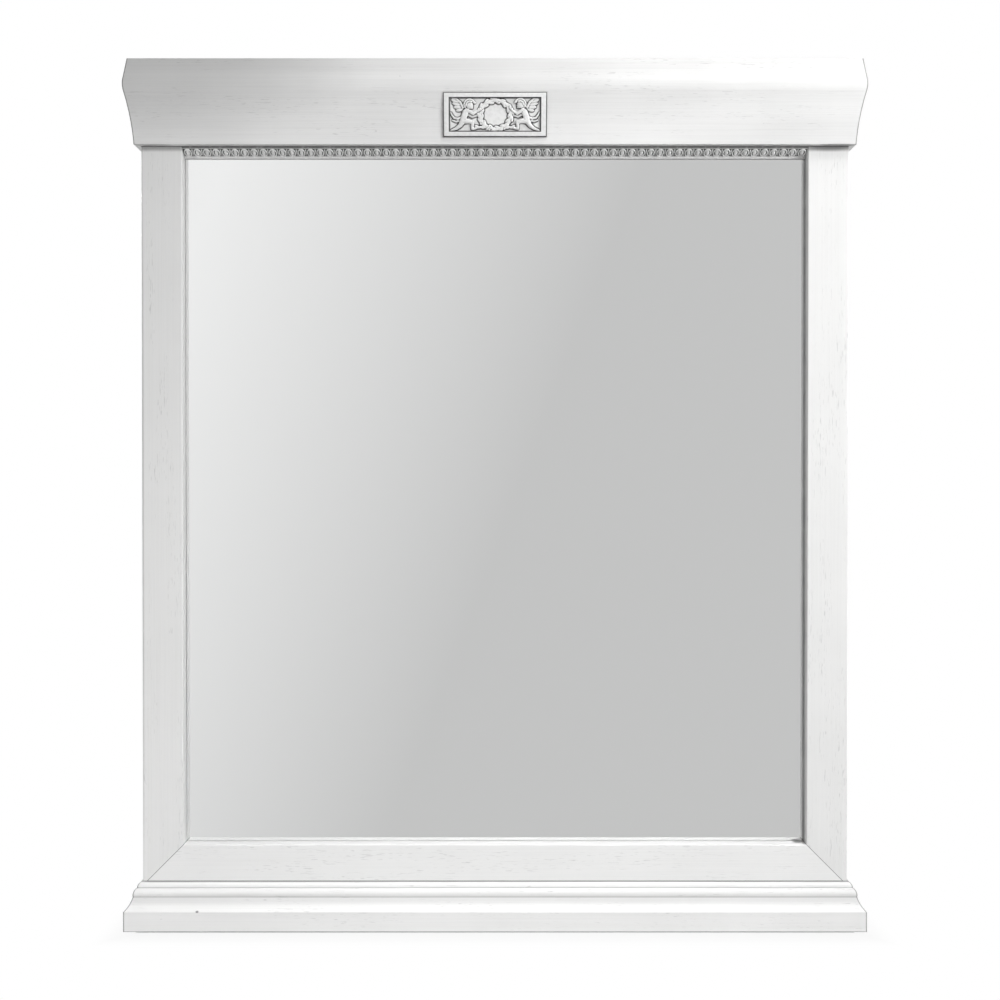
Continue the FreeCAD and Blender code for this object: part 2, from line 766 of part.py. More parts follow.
def make_plinth_board():
    body = new_body("plinth_board")
    section = new_sketch(body, "YZ_Plane")
    draw_rectangle(section, "0", "places.frame_thickness", "0", "places.frame_bottom")
    add_pad(body, section, "sizes.frame_width", centred=True)
    for x in plinth_screw_places():
        middle = behind("places.frame_thickness / 2")
        drill(body, x, middle, "-sizes.overrun", "up",
              "sizes.wood_screw_radius + sizes.screw_clearance",
              "places.frame_bottom + 2 * sizes.overrun")
        drill(body, x, middle, "-sizes.overrun", "up",
              "sizes.wood_screw_head_radius + sizes.screw_clearance",
              "sizes.plinth_screw_sink + sizes.wood_screw_head_height + sizes.overrun")
    return body


make_plinth_board()
make_front_moulding("plinth_moulding", *PLINTH)
make_return("plinth_left_return", -1, *PLINTH)
make_return("plinth_right_return", 1, *PLINTH)


# Glass, cushion sheet and backing panel

def make_sheet(label, front, thickness):
    body = new_body(label)
    outline = new_sketch(body, "XZ_Plane", "-(%s)" % front)
    draw_rectangle(outline, "-places.glass_half", "places.glass_half",
                   "places.glass_bottom", "places.glass_top")
    add_pad(body, outline, thickness, reversed_way=True)
    return body


def make_setting_blocks():
    """Blocks in the bottom rebate that carry the lower edge of the glass."""
    body = new_body("glass_setting_blocks")
    first = "-places.opening_half * 2 * %s" % SETTING_BLOCK_SHARE
    outline = new_sketch(body, "XZ_Plane", "-sizes.glass_setback")
    draw_rectangle(outline, "%s - sizes.setting_block_length / 2" % first,
                   "%s + sizes.setting_block_length / 2" % first,
                   "places.rebate_bottom", "places.glass_bottom")
    block = add_pad(body, outline, "sizes.glass_thickness", reversed_way=True)
    add_pattern(body, block, [("X_Axis", "places.opening_half * 4 * %s" % SETTING_BLOCK_SHARE, 2)])
    return body


make_sheet("mirror_glass", "sizes.glass_setback", "sizes.glass_thickness")
make_sheet("cushion_sheet", "sizes.glass_setback + sizes.glass_thickness", "sizes.cushion_thickness")
make_sheet("backing_panel", "places.frame_thickness - sizes.backing_thickness",
           "sizes.backing_thickness")
make_setting_blocks()


# Turn buttons on the back, each free to turn on its own screw

def button_places():
    """Name, pivot and turn of each button. The arm points over the panel."""
    rail_x = "places.opening_half * 2 * %s" % RAIL_BUTTON_SHARE
    low, high = side_button_rises()
    return [
        ("left_low", "-places.pivot_half", low, 0),
        ("left_high", "-places.pivot_half", high, 0),
        ("right_low", "places.pivot_half", low, 180),
        ("right_high", "places.pivot_half", high, 180),
        ("bottom_left", "-(%s)" % rail_x, "places.pivot_low", 90),
        ("bottom_right", rail_x, "places.pivot_low", 90),
        ("top_left", "-(%s)" % rail_x, "places.pivot_high", -90),
        ("top_right", rail_x, "places.pivot_high", -90),
    ]


def make_button(name, x, z, angle):
    body = new_body("turn_button_" + name)
    turn = TURNS["forward"].multiply(FreeCAD.Rotation(FreeCAD.Vector(0, 0, 1), angle))
    place(body, x, "places.back_y + sizes.button_lift + sizes.button_thickness", z, turn)
    outline = new_sketch(body, "XY_Plane")
    half = "sizes.button_width / 2"
    tip = "(sizes.button_length - sizes.button_width)"
    draw_outline(outline, [
        ("0", "-(%s)" % half, half),
        (tip, "-(%s)" % half),
        (tip, half, half),
        ("0", half),
    ])
    draw_circle(outline, "0", "0", "sizes.button_screw_radius + sizes.button_running_clearance")
    add_pad(body, outline, "sizes.button_thickness")
    return body


def make_button_screw(name, x, z):
    """Shouldered screw whose head traps the button without gripping it."""
    proud = "(sizes.button_lift + sizes.button_thickness + sizes.button_screw_head_gap)"
    height = "sizes.button_screw_head_height"
    length = "sizes.button_screw_length + %s + %s" % (proud, height)
    section = screw_half_section(length, "sizes.button_screw_radius",
                                 "sizes.button_screw_head_radius", height)
    return add_screws("turn_button_screw_" + name, x,
                      "places.back_y + %s + %s" % (proud, height), z, "forward", section, [])


def join_copies(label, bodies):
    """Shows several bodies as one group of separate solids."""
    group = doc.addObject("Part::Compound", label)
    group.Label = label
    group.Links = bodies
    for body in bodies:
        if body in nodes:
            nodes.remove(body)
    nodes.append(group)
    return group


button_screws = []
for name, x, z, angle in button_places():
    make_button(name, x, z, angle)
    button_screws.append(make_button_screw(name, x, z))
join_copies("turn_button_screws", button_screws)


# Keyhole hangers: a bent strip that stands off the stile between its two flanges

def hanger_section():
    """Section across the bends. Local Y is zero at the back of the stile."""
    half = "sizes.hanger_height / 2"
    flange = "(%s - sizes.hanger_flange_height)" % half
    bridge = "(%s - sizes.hanger_ramp_height)" % flange
    shift = "sizes.hanger_thickness * tan(atan(sizes.hanger_raise / sizes.hanger_ramp_height) / 2)"
    raised = "sizes.hanger_raise"
    inner = [("0", half), ("0", flange), (raised, bridge)]
    outer = [
        ("sizes.hanger_thickness", half),
        ("sizes.hanger_thickness", "%s + %s" % (flange, shift)),
        ("%s + sizes.hanger_thickness" % raised, "%s + %s" % (bridge, shift)),
    ]
    lower_inner = [(y, "-(%s)" % z) for y, z in reversed(inner)]
    lower_outer = [(y, "-(%s)" % z) for y, z in outer]
    return inner + lower_inner + lower_outer + outer[::-1]


def make_hanger(label, side):
    body = new_body(label)
    place(body, "%d * places.land_centre" % side, "places.back_y", "places.hanger_z")
    section = new_sketch(body, "YZ_Plane")
    draw_outline(section, hanger_section())
    add_pad(body, section, "sizes.hanger_width", centred=True)
    outside = "sizes.hanger_raise + sizes.hanger_thickness"
    through = "sizes.hanger_thickness + 2 * sizes.overrun"
    drill(body, "0", "%s + sizes.overrun" % outside, "-sizes.hanger_entry_drop", "forward",
          "sizes.hanger_entry_radius", through)
    slot = new_sketch(body, "XZ_Plane", "-(%s)" % outside)
    radius = "sizes.hanger_slot_radius"
    top = "sizes.hanger_slot_length - sizes.hanger_entry_drop"
    draw_outline(slot, [
        ("-(%s)" % radius, "-sizes.hanger_entry_drop"),
        (radius, "-sizes.hanger_entry_drop"),
        (radius, top),
        ("-(%s)" % radius, top, radius),
    ])
    add_pocket(body, slot, "sizes.hanger_thickness + sizes.overrun", reversed_way=True)
    for way in (-1, 1):
        drill(body, "0", "sizes.hanger_thickness + sizes.overrun",
              "%d * places.hanger_screw_offset" % way, "forward",
              "sizes.hanger_screw_radius + sizes.screw_clearance", through)
    return body


make_hanger("keyhole_hanger_left", -1)
make_hanger("keyhole_hanger_right", 1)
add_screws(
    "hanger_screws", "-places.land_centre",
    "places.back_y + sizes.hanger_thickness + sizes.hanger_screw_head_height",
    "places.hanger_z - places.hanger_screw_offset", "forward",
    screw_half_section("sizes.hanger_screw_length", "sizes.hanger_screw_radius",
                       "sizes.hanger_screw_head_radius", "sizes.hanger_screw_head_height"),
    [("X_Axis", "2 * places.land_centre", 2), ("Y_Axis", "2 * places.hanger_screw_offset", 2)])


# Wall bumpers

def make_bumpers():
    body = new_body("wall_bumpers")
    place(body, "-places.frame_half + sizes.bumper_side_inset", "places.back_y + sizes.bumper_height",
          "places.frame_bottom + sizes.bumper_low_inset", TURNS["forward"])
    section = new_sketch(body, "XZ_Plane")
    dome = "sizes.bumper_dome_height"
    draw_outline(section, [
        ("0", "0"),
        ("sizes.bumper_radius - %s" % dome, "0"),
        ("sizes.bumper_radius", dome, "%s * %s" % (dome, QUARTER_SHARE)),
        ("sizes.bumper_radius", "sizes.bumper_height"),
        ("0", "sizes.bumper_height"),
    ])
    bumper = add_revolution(body, section)
    add_pattern(body, bumper, [
        ("X_Axis", "2 * (places.frame_half - sizes.bumper_side_inset)", 2),
        ("Y_Axis", "places.stile_top - places.frame_bottom - sizes.bumper_low_inset"
                   " - sizes.bumper_high_inset", 2),
    ])
    return body


make_bumpers()


# Wood screws

add_screws(
    "crown_screws", "-places.crown_screw_x", "places.back_y - sizes.wood_screw_sink",
    "places.crown_screw_z", "forward",
    screw_half_section("sizes.crown_screw_length", "sizes.wood_screw_radius",
                       "sizes.wood_screw_head_radius", "sizes.wood_screw_head_height"),
    [("X_Axis", "2 * places.crown_screw_x", CROWN_SCREW_COUNT), ("Y_Axis", "sizes.crown_screw_row_gap", 2)])
add_screws(
    "plinth_screws", "-places.plinth_screw_x", "places.face_y + places.frame_thickness / 2",
    "sizes.plinth_screw_sink", "up",
    screw_half_section("sizes.plinth_screw_length", "sizes.wood_screw_radius",
                       "sizes.wood_screw_head_radius", "sizes.wood_screw_head_height"),
    [("X_Axis", "2 * places.plinth_screw_x", PLINTH_SCREW_COUNT)])


# Dowels

def make_dowel(x, z, way):
    dowel = doc.addObject("Part::Cylinder", "dowel")
    place(dowel, x, "places.face_y + places.dowel_depth", z, TURNS[way])
    bind(dowel, ("Radius", "Height"), ("sizes.dowel_radius", "sizes.dowel_length"))
    return dowel


mitre_dowels = []
rail_dowels = []
for side, way in ((-1, "up_left"), (1, "up_right")):
    mitre_dowels += [make_dowel(x, z, way) for x, z in mitre_dowel_places(side)]
    dowel_start = "%d * places.opening_half - sizes.dowel_length / 2" % side
    rail_dowels += [make_dowel(dowel_start, rise, "right") for rise in rail_dowel_rises()]
join_copies("mitre_dowels", mitre_dowels)
join_copies("rail_dowels", rail_dowels)


# Checks of the document, and the files

doc.recompute()
for thing in doc.Objects:
    if "Invalid" in thing.State or "Error" in thing.State:
        raise RuntimeError("%s did not rebuild: %s" % (thing.Label, thing.State))
    if thing.isDerivedFrom("PartDesign::Pocket") or thing.isDerivedFrom("PartDesign::SubtractiveCylinder"):
        if thing.Shape.Volume >= thing.BaseFeature.Shape.Volume:
            raise RuntimeError("%s cuts nothing" % thing.Label)

os.makedirs("parts", exist_ok=True)
for node in nodes:
    shape = node.Shape
    if shape.isNull() or not shape.isValid():
        raise RuntimeError("%s has no sound shape" % node.Label)
    print("%-28s solids %d  volume %.0f mm3" % (node.Label, len(shape.Solids), shape.Volume))
for node in nodes:
    node.Shape.exportStep(os.path.join("parts", node.Label + ".step"))
box = Part.makeCompound([node.Shape for node in nodes]).BoundBox
print("nodes %d  box %.1f x %.1f x %.1f mm" % (len(nodes), box.XLength, box.YLength, box.ZLength))
print("from", box.XMin, box.YMin, box.ZMin, "to", box.XMax, box.YMax, box.ZMax)
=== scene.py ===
import math
import random

import bpy
import numpy as np
from mathutils import Matrix, Vector


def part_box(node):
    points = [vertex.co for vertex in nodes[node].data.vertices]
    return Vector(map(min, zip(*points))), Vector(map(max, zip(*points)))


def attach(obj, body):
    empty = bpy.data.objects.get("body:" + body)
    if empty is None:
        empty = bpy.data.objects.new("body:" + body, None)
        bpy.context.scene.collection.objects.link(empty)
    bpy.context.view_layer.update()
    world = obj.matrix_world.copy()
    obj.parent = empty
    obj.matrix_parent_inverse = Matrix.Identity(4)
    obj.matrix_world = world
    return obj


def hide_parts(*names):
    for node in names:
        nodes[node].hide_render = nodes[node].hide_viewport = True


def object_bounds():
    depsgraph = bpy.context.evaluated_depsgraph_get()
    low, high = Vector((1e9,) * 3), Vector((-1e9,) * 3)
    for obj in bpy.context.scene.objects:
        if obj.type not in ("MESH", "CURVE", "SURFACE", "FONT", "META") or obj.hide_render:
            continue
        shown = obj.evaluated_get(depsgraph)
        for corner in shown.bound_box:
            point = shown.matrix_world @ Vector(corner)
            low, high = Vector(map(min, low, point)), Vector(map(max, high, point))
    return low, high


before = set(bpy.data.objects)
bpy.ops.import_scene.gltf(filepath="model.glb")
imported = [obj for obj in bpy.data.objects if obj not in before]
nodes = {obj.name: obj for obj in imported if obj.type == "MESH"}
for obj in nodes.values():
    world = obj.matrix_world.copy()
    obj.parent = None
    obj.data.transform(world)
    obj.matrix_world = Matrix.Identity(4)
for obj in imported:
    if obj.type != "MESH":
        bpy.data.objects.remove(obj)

# Framed mirror with a coved crown, a carved strip, a relief plaque and a moulded plinth.
# Lengths are in metres. The viewer stands on the -Y side, the wall is on the +Y side.

cad_low, cad_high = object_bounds()
BUTTON_NAMES = [name for name in nodes if name.startswith("turn_button_") and name != "turn_button_screws"]
MM = 0.001

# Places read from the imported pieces
face_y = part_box("left_stile")[0].y
back_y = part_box("left_stile")[1].y
frame_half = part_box("right_stile")[1].x
opening_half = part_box("right_stile")[0].x
frame_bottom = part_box("bottom_rail")[0].z
opening_bottom = frame_bottom + frame_half - opening_half
crown_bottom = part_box("crown_moulding")[0].z
crown_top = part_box("crown_moulding")[1].z
plinth_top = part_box("plinth_moulding")[1].z
glass_low, glass_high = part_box("mirror_glass")


# Small tools for materials

def add_node(tree, kind, values=None, **settings):
    """Adds a shader node. Values are set on inputs by name or number, or linked to them."""
    made = tree.nodes.new(kind)
    for name, setting in settings.items():
        setattr(made, name, setting)
    for name, value in (values or {}).items():
        if isinstance(value, bpy.types.NodeSocket):
            tree.links.new(value, made.inputs[name])
        else:
            made.inputs[name].default_value = value
    return made


def math_node(tree, operation, first, second=0.0):
    return add_node(tree, "ShaderNodeMath", {0: first, 1: second}, operation=operation).outputs[0]


def product(tree, first, second):
    return math_node(tree, "MULTIPLY", first, second)


def minus(tree, first, second):
    return math_node(tree, "SUBTRACT", first, second)


def either_side(tree, value):
    return math_node(tree, "ABSOLUTE", value)


def split(tree, vector):
    """The three parts of a vector."""
    return add_node(tree, "ShaderNodeSeparateXYZ", {0: vector}).outputs


def map_range(tree, value, low, high, to_low=0.0, to_high=1.0, smooth=True):
    made = add_node(
        tree, "ShaderNodeMapRange",
        {"Value": value, "From Min": low, "From Max": high, "To Min": to_low, "To Max": to_high},
        interpolation_type="SMOOTHSTEP" if smooth else "LINEAR")
    return made.outputs["Result"]


def mix_colour(tree, factor, first, second):
    return add_node(tree, "ShaderNodeMix", {0: factor, 6: first, 7: second}, data_type="RGBA").outputs[2]


def noise(tree, place, scale, detail=2.0, roughness=0.5):
    made = add_node(tree, "ShaderNodeTexNoise",
                    {"Vector": place, "Scale": scale, "Detail": detail, "Roughness": roughness})
    return made.outputs["Fac"]


def stretched(tree, place, lengths):
    """Coordinates in which one unit is the given length in metres along each axis."""
    scale = [1 / length for length in lengths]
    return add_node(tree, "ShaderNodeMapping", {"Vector": place, "Scale": scale}).outputs[0]


def grey(level):
    return (level, level, level, 1.0)


def start_material(name, roughness, metallic=0.0):
    """A new material with its tree, its shader and the place on the object."""
    material = bpy.data.materials.new(name)
    material.use_nodes = True
    tree = material.node_tree
    shader = tree.nodes["Principled BSDF"]
    shader.inputs["Roughness"].default_value = roughness
    shader.inputs["Metallic"].default_value = metallic
    place = add_node(tree, "ShaderNodeTexCoord").outputs["Object"]
    return material, tree, shader, place


def finish_material(tree, shader, colour, rough, height, distance, strength=0.5, normal=None):
    """Links the colour, roughness and bump. A roughness of None leaves the material's even one."""
    bump = {"Height": height, "Distance": distance, "Strength": strength}
    if normal is not None:
        bump["Normal"] = normal
    tree.links.new(colour, shader.inputs["Base Color"])
    if rough is not None:
        tree.links.new(rough, shader.inputs["Roughness"])
    tree.links.new(add_node(tree, "ShaderNodeBump", bump).outputs[0], shader.inputs["Normal"])


# How much of a mark's radius or a line's width is at full strength
CORE_SHARE = 0.35


def near_point(tree, place, point, radius, stretch):
    """One at a point, falling to zero at the radius. The stretch widens it along an axis."""
    scale = [1 / part for part in stretch]
    moved = add_node(tree, "ShaderNodeMapping",
                     {"Vector": place, "Location": [-c * s for c, s in zip(point, scale)], "Scale": scale})
    distance = add_node(tree, "ShaderNodeVectorMath", {0: moved.outputs[0]}, operation="LENGTH")
    return map_range(tree, distance.outputs["Value"], radius * CORE_SHARE, radius, 1.0, 0.0)


# White lacquered open-grain wood

WOOD_WHITE = (0.83, 0.83, 0.825, 1.0)
WOOD_CLOUD = (0.775, 0.775, 0.77, 1.0)
PORE_GREY = (0.45, 0.45, 0.45, 1.0)
JOINT_AND_SHADE_GREY = (0.07, 0.07, 0.07, 1.0)
WORN_GREY = (0.62, 0.615, 0.60, 1.0)
# Painted light: a lighter copy of the lacquer for the rail and the plinth
PAINTED_LIGHT_LACQUER = ((0.88, 0.88, 0.875, 1.0), (0.83, 0.83, 0.825, 1.0))
CROWN_LACQUER = ((0.885, 0.885, 0.88, 1.0), (0.79, 0.79, 0.785, 1.0))
# Painted top light: the lighter colour given to faces that look up
TOP_LIGHT_WHITE = (0.97, 0.97, 0.965, 1.0)
DENT_AND_SHADE_GREY = (0.20, 0.20, 0.20, 1.0)
# Marks are small dents, a thin darker line along the left stile's outer edge, and wide soft painted shades
# on parts of the crown, its soffit and the opening's right inner wall, with a painted shadow under the crown.
# Each has a point in metres, a radius, a stretch along each axis and a strength
CROWN_MARKS = (
    ((-0.1596, -0.017, 1.0721), 1.5 * MM, (1.5, 12, 0.8), 0.25),
    ((-0.1267, -0.026, 1.1424), 1.2 * MM, (1.0, 12, 1.0), 0.25),
    ((0.3595, -0.018, 1.0821), 1.2 * MM, (1.2, 12, 0.8), 0.25),
    # Painted shade: wide soft darkening of the crown's upper left, and weaker of its lower right
    ((-0.47, -0.02, 1.19), 350 * MM, (1.0, 1.0, 0.48), 0.33),
    ((0.44, -0.02, 1.055), 260 * MM, (1.0, 1.0, 0.20), 0.12),
    # Painted shade on the crown's soffit over each stile
    ((0.46, -0.013, crown_bottom), 34 * MM, (1.0, 0.6, 0.03), 0.6),
    ((-0.46, -0.013, crown_bottom), 34 * MM, (1.0, 0.6, 0.03), 0.4),
)
PLINTH_MARKS = (
    ((-0.3988, -0.0273, 0.0268), 2.2 * MM, (1.3, 2, 0.9), 0.9),
    ((-0.4062, -0.0273, 0.0298), 1.6 * MM, (3.6, 2, 0.6), 0.6),
    ((-0.4468, -0.0273, 0.0172), 0.9 * MM, (2.5, 4, 0.6), 0.3),
)
STILE_MARKS = (
    ((1.6 * MM - frame_half, face_y, 0.6), 1.5 * MM, (1, 4, 400), 0.35),
    # Painted shade down the opening's right inner wall
    ((opening_half, glass_low.y, 0.6), 10 * MM, (1, 1, 400), 0.75),
    # Painted shadow under the crown on the right stile
    ((0.45, face_y, crown_bottom), 40 * MM, (1.0, 0.3, 0.22), 0.6),
)
# Painted shade in the right-hand corner of the ledge below the glass
RAIL_CORNER_SHADE = (((opening_half - 9 * MM, face_y + 13 * MM, opening_bottom), 9 * MM, (1.0, 0.7, 0.4), 0.9),)
# Dark lines along joints, and painted shade and shadow lines under the crown, in the plinth's quirk and cove
# and along its foot, and a faint painted shade along the crown's top: a height, a width and a strength
# Painted shade: the crown a little darker towards its top
CROWN_LINES = ((crown_top, 26 * MM, 0.05),)
# Painted shadow under the crown, then a dark joint line at the plinth
STILE_LINES = ((crown_bottom, 1.8 * MM, 0.7), (crown_bottom, 9 * MM, 0.5),
               (plinth_top + 0.2 * MM, 0.8 * MM, 0.7))
RAIL_LINES = ((plinth_top + 0.2 * MM, 0.8 * MM, 0.9),)
# A dark joint line at the plinth's top, painted shade in the quirk and under the bead at the cove's top, and
# a painted contact shadow along the foot
PLINTH_LINES = ((plinth_top - 0.2 * MM, 0.5 * MM, 0.6), (0.0545, 0.8 * MM, 0.36),
                (0.0434, 1.3 * MM, 0.22), (0.0412, 9 * MM, 0.15), (0.0, 1.0 * MM, 0.7))
MITRE_LINE = (0.75 * MM, 0.8)
CORNER_LINE = (1.8 * MM, 0.65)
# Cells of the grain: the length along the member and the width across it
PORE_CELL = (13 * MM, 1.05 * MM)
PATCH_CELL = (140 * MM, 16 * MM)
STREAK_CELL = (220 * MM, 2.2 * MM)
PORE_STRENGTH = 0.46
STREAK_SHARE = 0.45
EDGE_RADIUS = 0.9 * MM
EDGE_STRENGTH = 0.35
SATIN = (0.36, 0.50)
GRAIN_DEPTH = 0.12 * MM
PLINTH_GLOSS = 0.06
LACQUER_ROUGHNESS = 0.42
# Where each noise begins and ends to show
PORE_RANGE = (0.63, 0.72)
PATCH_RANGE = (0.42, 0.66)
STREAK_RANGE = (0.35, 0.75)
CLOUD_RANGE = (0.3, 0.75)
RUBBED_RANGE = (0.45, 0.7)
# How well the rounded normal agrees with the true one where wear begins and ends, and how level a face is
# where the painted top light begins and ends
EDGE_RANGE = (0.97, 0.80)
TOP_LIGHT_RANGE = (0.85, 0.98)


def cell_noise(tree, place, along, cell, detail, roughness=0.5):
    """Noise in long cells that lie along one axis."""
    lengths = [cell[0] if axis == along else cell[1] for axis in "XYZ"]
    return noise(tree, stretched(tree, place, lengths), 1.0, detail, roughness)


def joint_line(tree, off_line, width):
    """One along the line where a distance is zero."""
    return map_range(tree, either_side(tree, off_line), width * CORE_SHARE, width, 1.0, 0.0)


def strongest_mark(tree, place, marks):
    """The strongest of some marks. Each is a point, a radius, a stretch and a strength."""
    found = 0.0
    for point, radius, stretch, strength in marks:
        mark = product(tree, near_point(tree, place, point, radius, stretch), strength)
        found = math_node(tree, "MAXIMUM", found, mark)
    return found


def white_wood(name, along, marks=(), corner_shades=(), lines=(), mitre=False, corner=False,
               colours=(WOOD_WHITE, WOOD_CLOUD), gloss=0.0):
    """Lacquer that has sunk into the pores, with painted top light on faces that look up. Marks are dents and
    painted shades, and corner shades are painted shade that lies on those lighter tops too.

    Lines are dark joints, and painted shade and shadow lines: a height, a width and a strength."""
    material, tree, shader, place = start_material(name, LACQUER_ROUGHNESS)
    pores = map_range(tree, cell_noise(tree, place, along, PORE_CELL, 1.0), *PORE_RANGE)
    patches = map_range(tree, cell_noise(tree, place, along, PATCH_CELL, 2.0), *PATCH_RANGE)
    pores = product(tree, pores, patches)
    streaks = map_range(tree, cell_noise(tree, place, along, STREAK_CELL, 3.0, 0.6), *STREAK_RANGE)
    clouds = map_range(tree, noise(tree, place, 7.0, 3.0), *CLOUD_RANGE)
    tone = product(tree, clouds, 1 - STREAK_SHARE)
    tone = math_node(tree, "ADD", tone, product(tree, streaks, STREAK_SHARE))
    colour = mix_colour(tree, tone, *colours)
    colour = mix_colour(tree, product(tree, pores, PORE_STRENGTH), colour, PORE_GREY)

    rounded = add_node(tree, "ShaderNodeBevel", {"Radius": EDGE_RADIUS}, samples=6).outputs[0]
    normal = add_node(tree, "ShaderNodeNewGeometry").outputs["Normal"]
    facing = add_node(tree, "ShaderNodeVectorMath", {0: rounded, 1: normal}, operation="DOT_PRODUCT")
    edge = map_range(tree, facing.outputs["Value"], *EDGE_RANGE)
    edge = product(tree, edge, map_range(tree, noise(tree, place, 260.0, 3.0), *RUBBED_RANGE))
    colour = mix_colour(tree, product(tree, edge, EDGE_STRENGTH), colour, WORN_GREY)

    # Dents, and the painted shades among the marks
    dents_and_shades = strongest_mark(tree, place, marks)
    colour = mix_colour(tree, dents_and_shades, colour, DENT_AND_SHADE_GREY)
    # Painted top light: faces that look up are made lighter
    up = split(tree, normal)[2]
    colour = mix_colour(tree, map_range(tree, up, *TOP_LIGHT_RANGE), colour, TOP_LIGHT_WHITE)
    # Painted corner shade, which also darkens the lighter tops
    colour = mix_colour(tree, strongest_mark(tree, place, corner_shades), colour, DENT_AND_SHADE_GREY)
    parts = split(tree, place)
    across = minus(tree, either_side(tree, parts[0]), frame_half)
    before_back = map_range(tree, parts[1], back_y - 2 * MM, back_y - 1 * MM, 1.0, 0.0)
    # Dark joint lines, and painted shade and shadow lines, kept off the back face
    for height, width, strength in lines:
        line = joint_line(tree, minus(tree, parts[2], height), width)
        line = product(tree, line, before_back)
        colour = mix_colour(tree, product(tree, line, strength), colour, JOINT_AND_SHADE_GREY)
    if mitre:
        above = minus(tree, parts[2], frame_bottom)
        line = joint_line(tree, math_node(tree, "ADD", across, above), MITRE_LINE[0])
        colour = mix_colour(tree, product(tree, line, MITRE_LINE[1]), colour, JOINT_AND_SHADE_GREY)
    if corner:
        behind = minus(tree, parts[1], face_y)
        line = joint_line(tree, math_node(tree, "ADD", across, behind), CORNER_LINE[0])
        colour = mix_colour(tree, product(tree, line, CORNER_LINE[1]), colour, JOINT_AND_SHADE_GREY)

    shine = map_range(tree, noise(tree, place, 60.0, 3.0), 0.3, 0.7, SATIN[0] - gloss, SATIN[1] - gloss)
    shine = math_node(tree, "ADD", shine, product(tree, pores, 0.25))
    height = math_node(tree, "ADD", product(tree, pores, -1.0), product(tree, streaks, -0.35))
    height = math_node(tree, "ADD", height, product(tree, dents_and_shades, -3.0))
    finish_material(tree, shader, colour, shine, height, GRAIN_DEPTH, 0.6, rounded)
    return material


def dress(material, *names):
    """Gives carried-over pieces their material."""
    for name in names:
        mesh = nodes[name].data
        mesh.materials.clear()
        mesh.materials.append(material)


dress(white_wood("white_wood_upright", "Z", mitre=True, marks=STILE_MARKS, lines=STILE_LINES),
      "left_stile", "right_stile")
dress(white_wood("white_wood_rail", "X", mitre=True, corner_shades=RAIL_CORNER_SHADE, lines=RAIL_LINES,
                 colours=PAINTED_LIGHT_LACQUER), "bottom_rail")
dress(white_wood("white_wood_crown", "X", corner=True, marks=CROWN_MARKS, lines=CROWN_LINES,
                 colours=CROWN_LACQUER), "crown_moulding")
dress(white_wood("white_wood_plinth", "X", corner=True, marks=PLINTH_MARKS, lines=PLINTH_LINES,
                 colours=PAINTED_LIGHT_LACQUER, gloss=PLINTH_GLOSS), "plinth_moulding")
dress(white_wood("white_wood_crown_returns", "Y", corner=True), "crown_left_return", "crown_right_return")
dress(white_wood("white_wood_plinth_returns", "Y", corner=True, lines=PLINTH_LINES, colours=PAINTED_LIGHT_LACQUER,
                 gloss=PLINTH_GLOSS), "plinth_left_return", "plinth_right_return")
dress(white_wood("white_wood_boards", "X"), "top_rail", "plinth_board")


# Other finishes

def bare_beech():
    """Pale dowel wood with short flecks along X."""
    material, tree, shader, place = start_material("bare_beech", 0.62)
    streaks = noise(tree, stretched(tree, place, (0.03, 0.0009, 0.0009)), 1.0, 3.0)
    flecks = noise(tree, stretched(tree, place, (0.0022, 0.0005, 0.0005)), 1.0, 1.0)
    pale = map_range(tree, streaks, 0.3, 0.7)
    colour = mix_colour(tree, pale, (0.68, 0.54, 0.38, 1), (0.56, 0.42, 0.27, 1))
    colour = mix_colour(tree, map_range(tree, flecks, 0.62, 0.7, 0.0, 0.5), colour, (0.38, 0.25, 0.14, 1))
    finish_material(tree, shader, colour, None, streaks, 0.08 * MM)
    return material


def grey_card():
    """Recycled card: pale and dark fibres in every direction."""
    material, tree, shader, place = start_material("grey_card", 0.9)
    fibres = noise(tree, place, 1400.0, 4.0, 0.7)
    clouds = noise(tree, place, 60.0, 3.0)
    colour = mix_colour(tree, map_range(tree, clouds, 0.3, 0.7), (0.58, 0.57, 0.55, 1), (0.50, 0.49, 0.47, 1))
    colour = mix_colour(tree, map_range(tree, fibres, 0.60, 0.72), colour, (0.30, 0.29, 0.28, 1))
    finish_material(tree, shader, colour, None, fibres, 0.05 * MM)
    return material


def fibre_board():
    """Smooth brown hardboard with fine fibres, darker blotches and a few pale scuffs."""
    material, tree, shader, place = start_material("fibre_board", 0.55)
    level = noise(tree, stretched(tree, place, (0.0060, 0.0010, 0.0007)), 1.0, 3.0, 0.7)
    upright = noise(tree, stretched(tree, place, (0.0007, 0.0010, 0.0060)), 1.0, 3.0, 0.7)
    fibres = math_node(tree, "MAXIMUM", level, upright)
    clouds = noise(tree, place, 9.0, 4.0)
    scuffs = noise(tree, stretched(tree, place, (0.09, 0.01, 0.0022)), 1.0, 2.0)
    brown = map_range(tree, clouds, 0.25, 0.75)
    colour = mix_colour(tree, brown, (0.50, 0.36, 0.23, 1), (0.45, 0.32, 0.20, 1))
    bundles = noise(tree, stretched(tree, place, (0.035, 0.01, 0.004)), 1.0, 4.0, 0.65)
    colour = mix_colour(tree, map_range(tree, bundles, 0.45, 0.75, 0.0, 0.35), colour, (0.34, 0.23, 0.14, 1))
    colour = mix_colour(tree, map_range(tree, fibres, 0.56, 0.80, 0.0, 0.7), colour, (0.22, 0.14, 0.08, 1))
    scuff = map_range(tree, scuffs, 0.70, 0.78, 0.0, 0.35)
    colour = mix_colour(tree, scuff, colour, (0.62, 0.50, 0.36, 1))
    rough = map_range(tree, clouds, 0.3, 0.7, 0.44, 0.66)
    finish_material(tree, shader, colour, rough, fibres, 0.05 * MM)
    return material


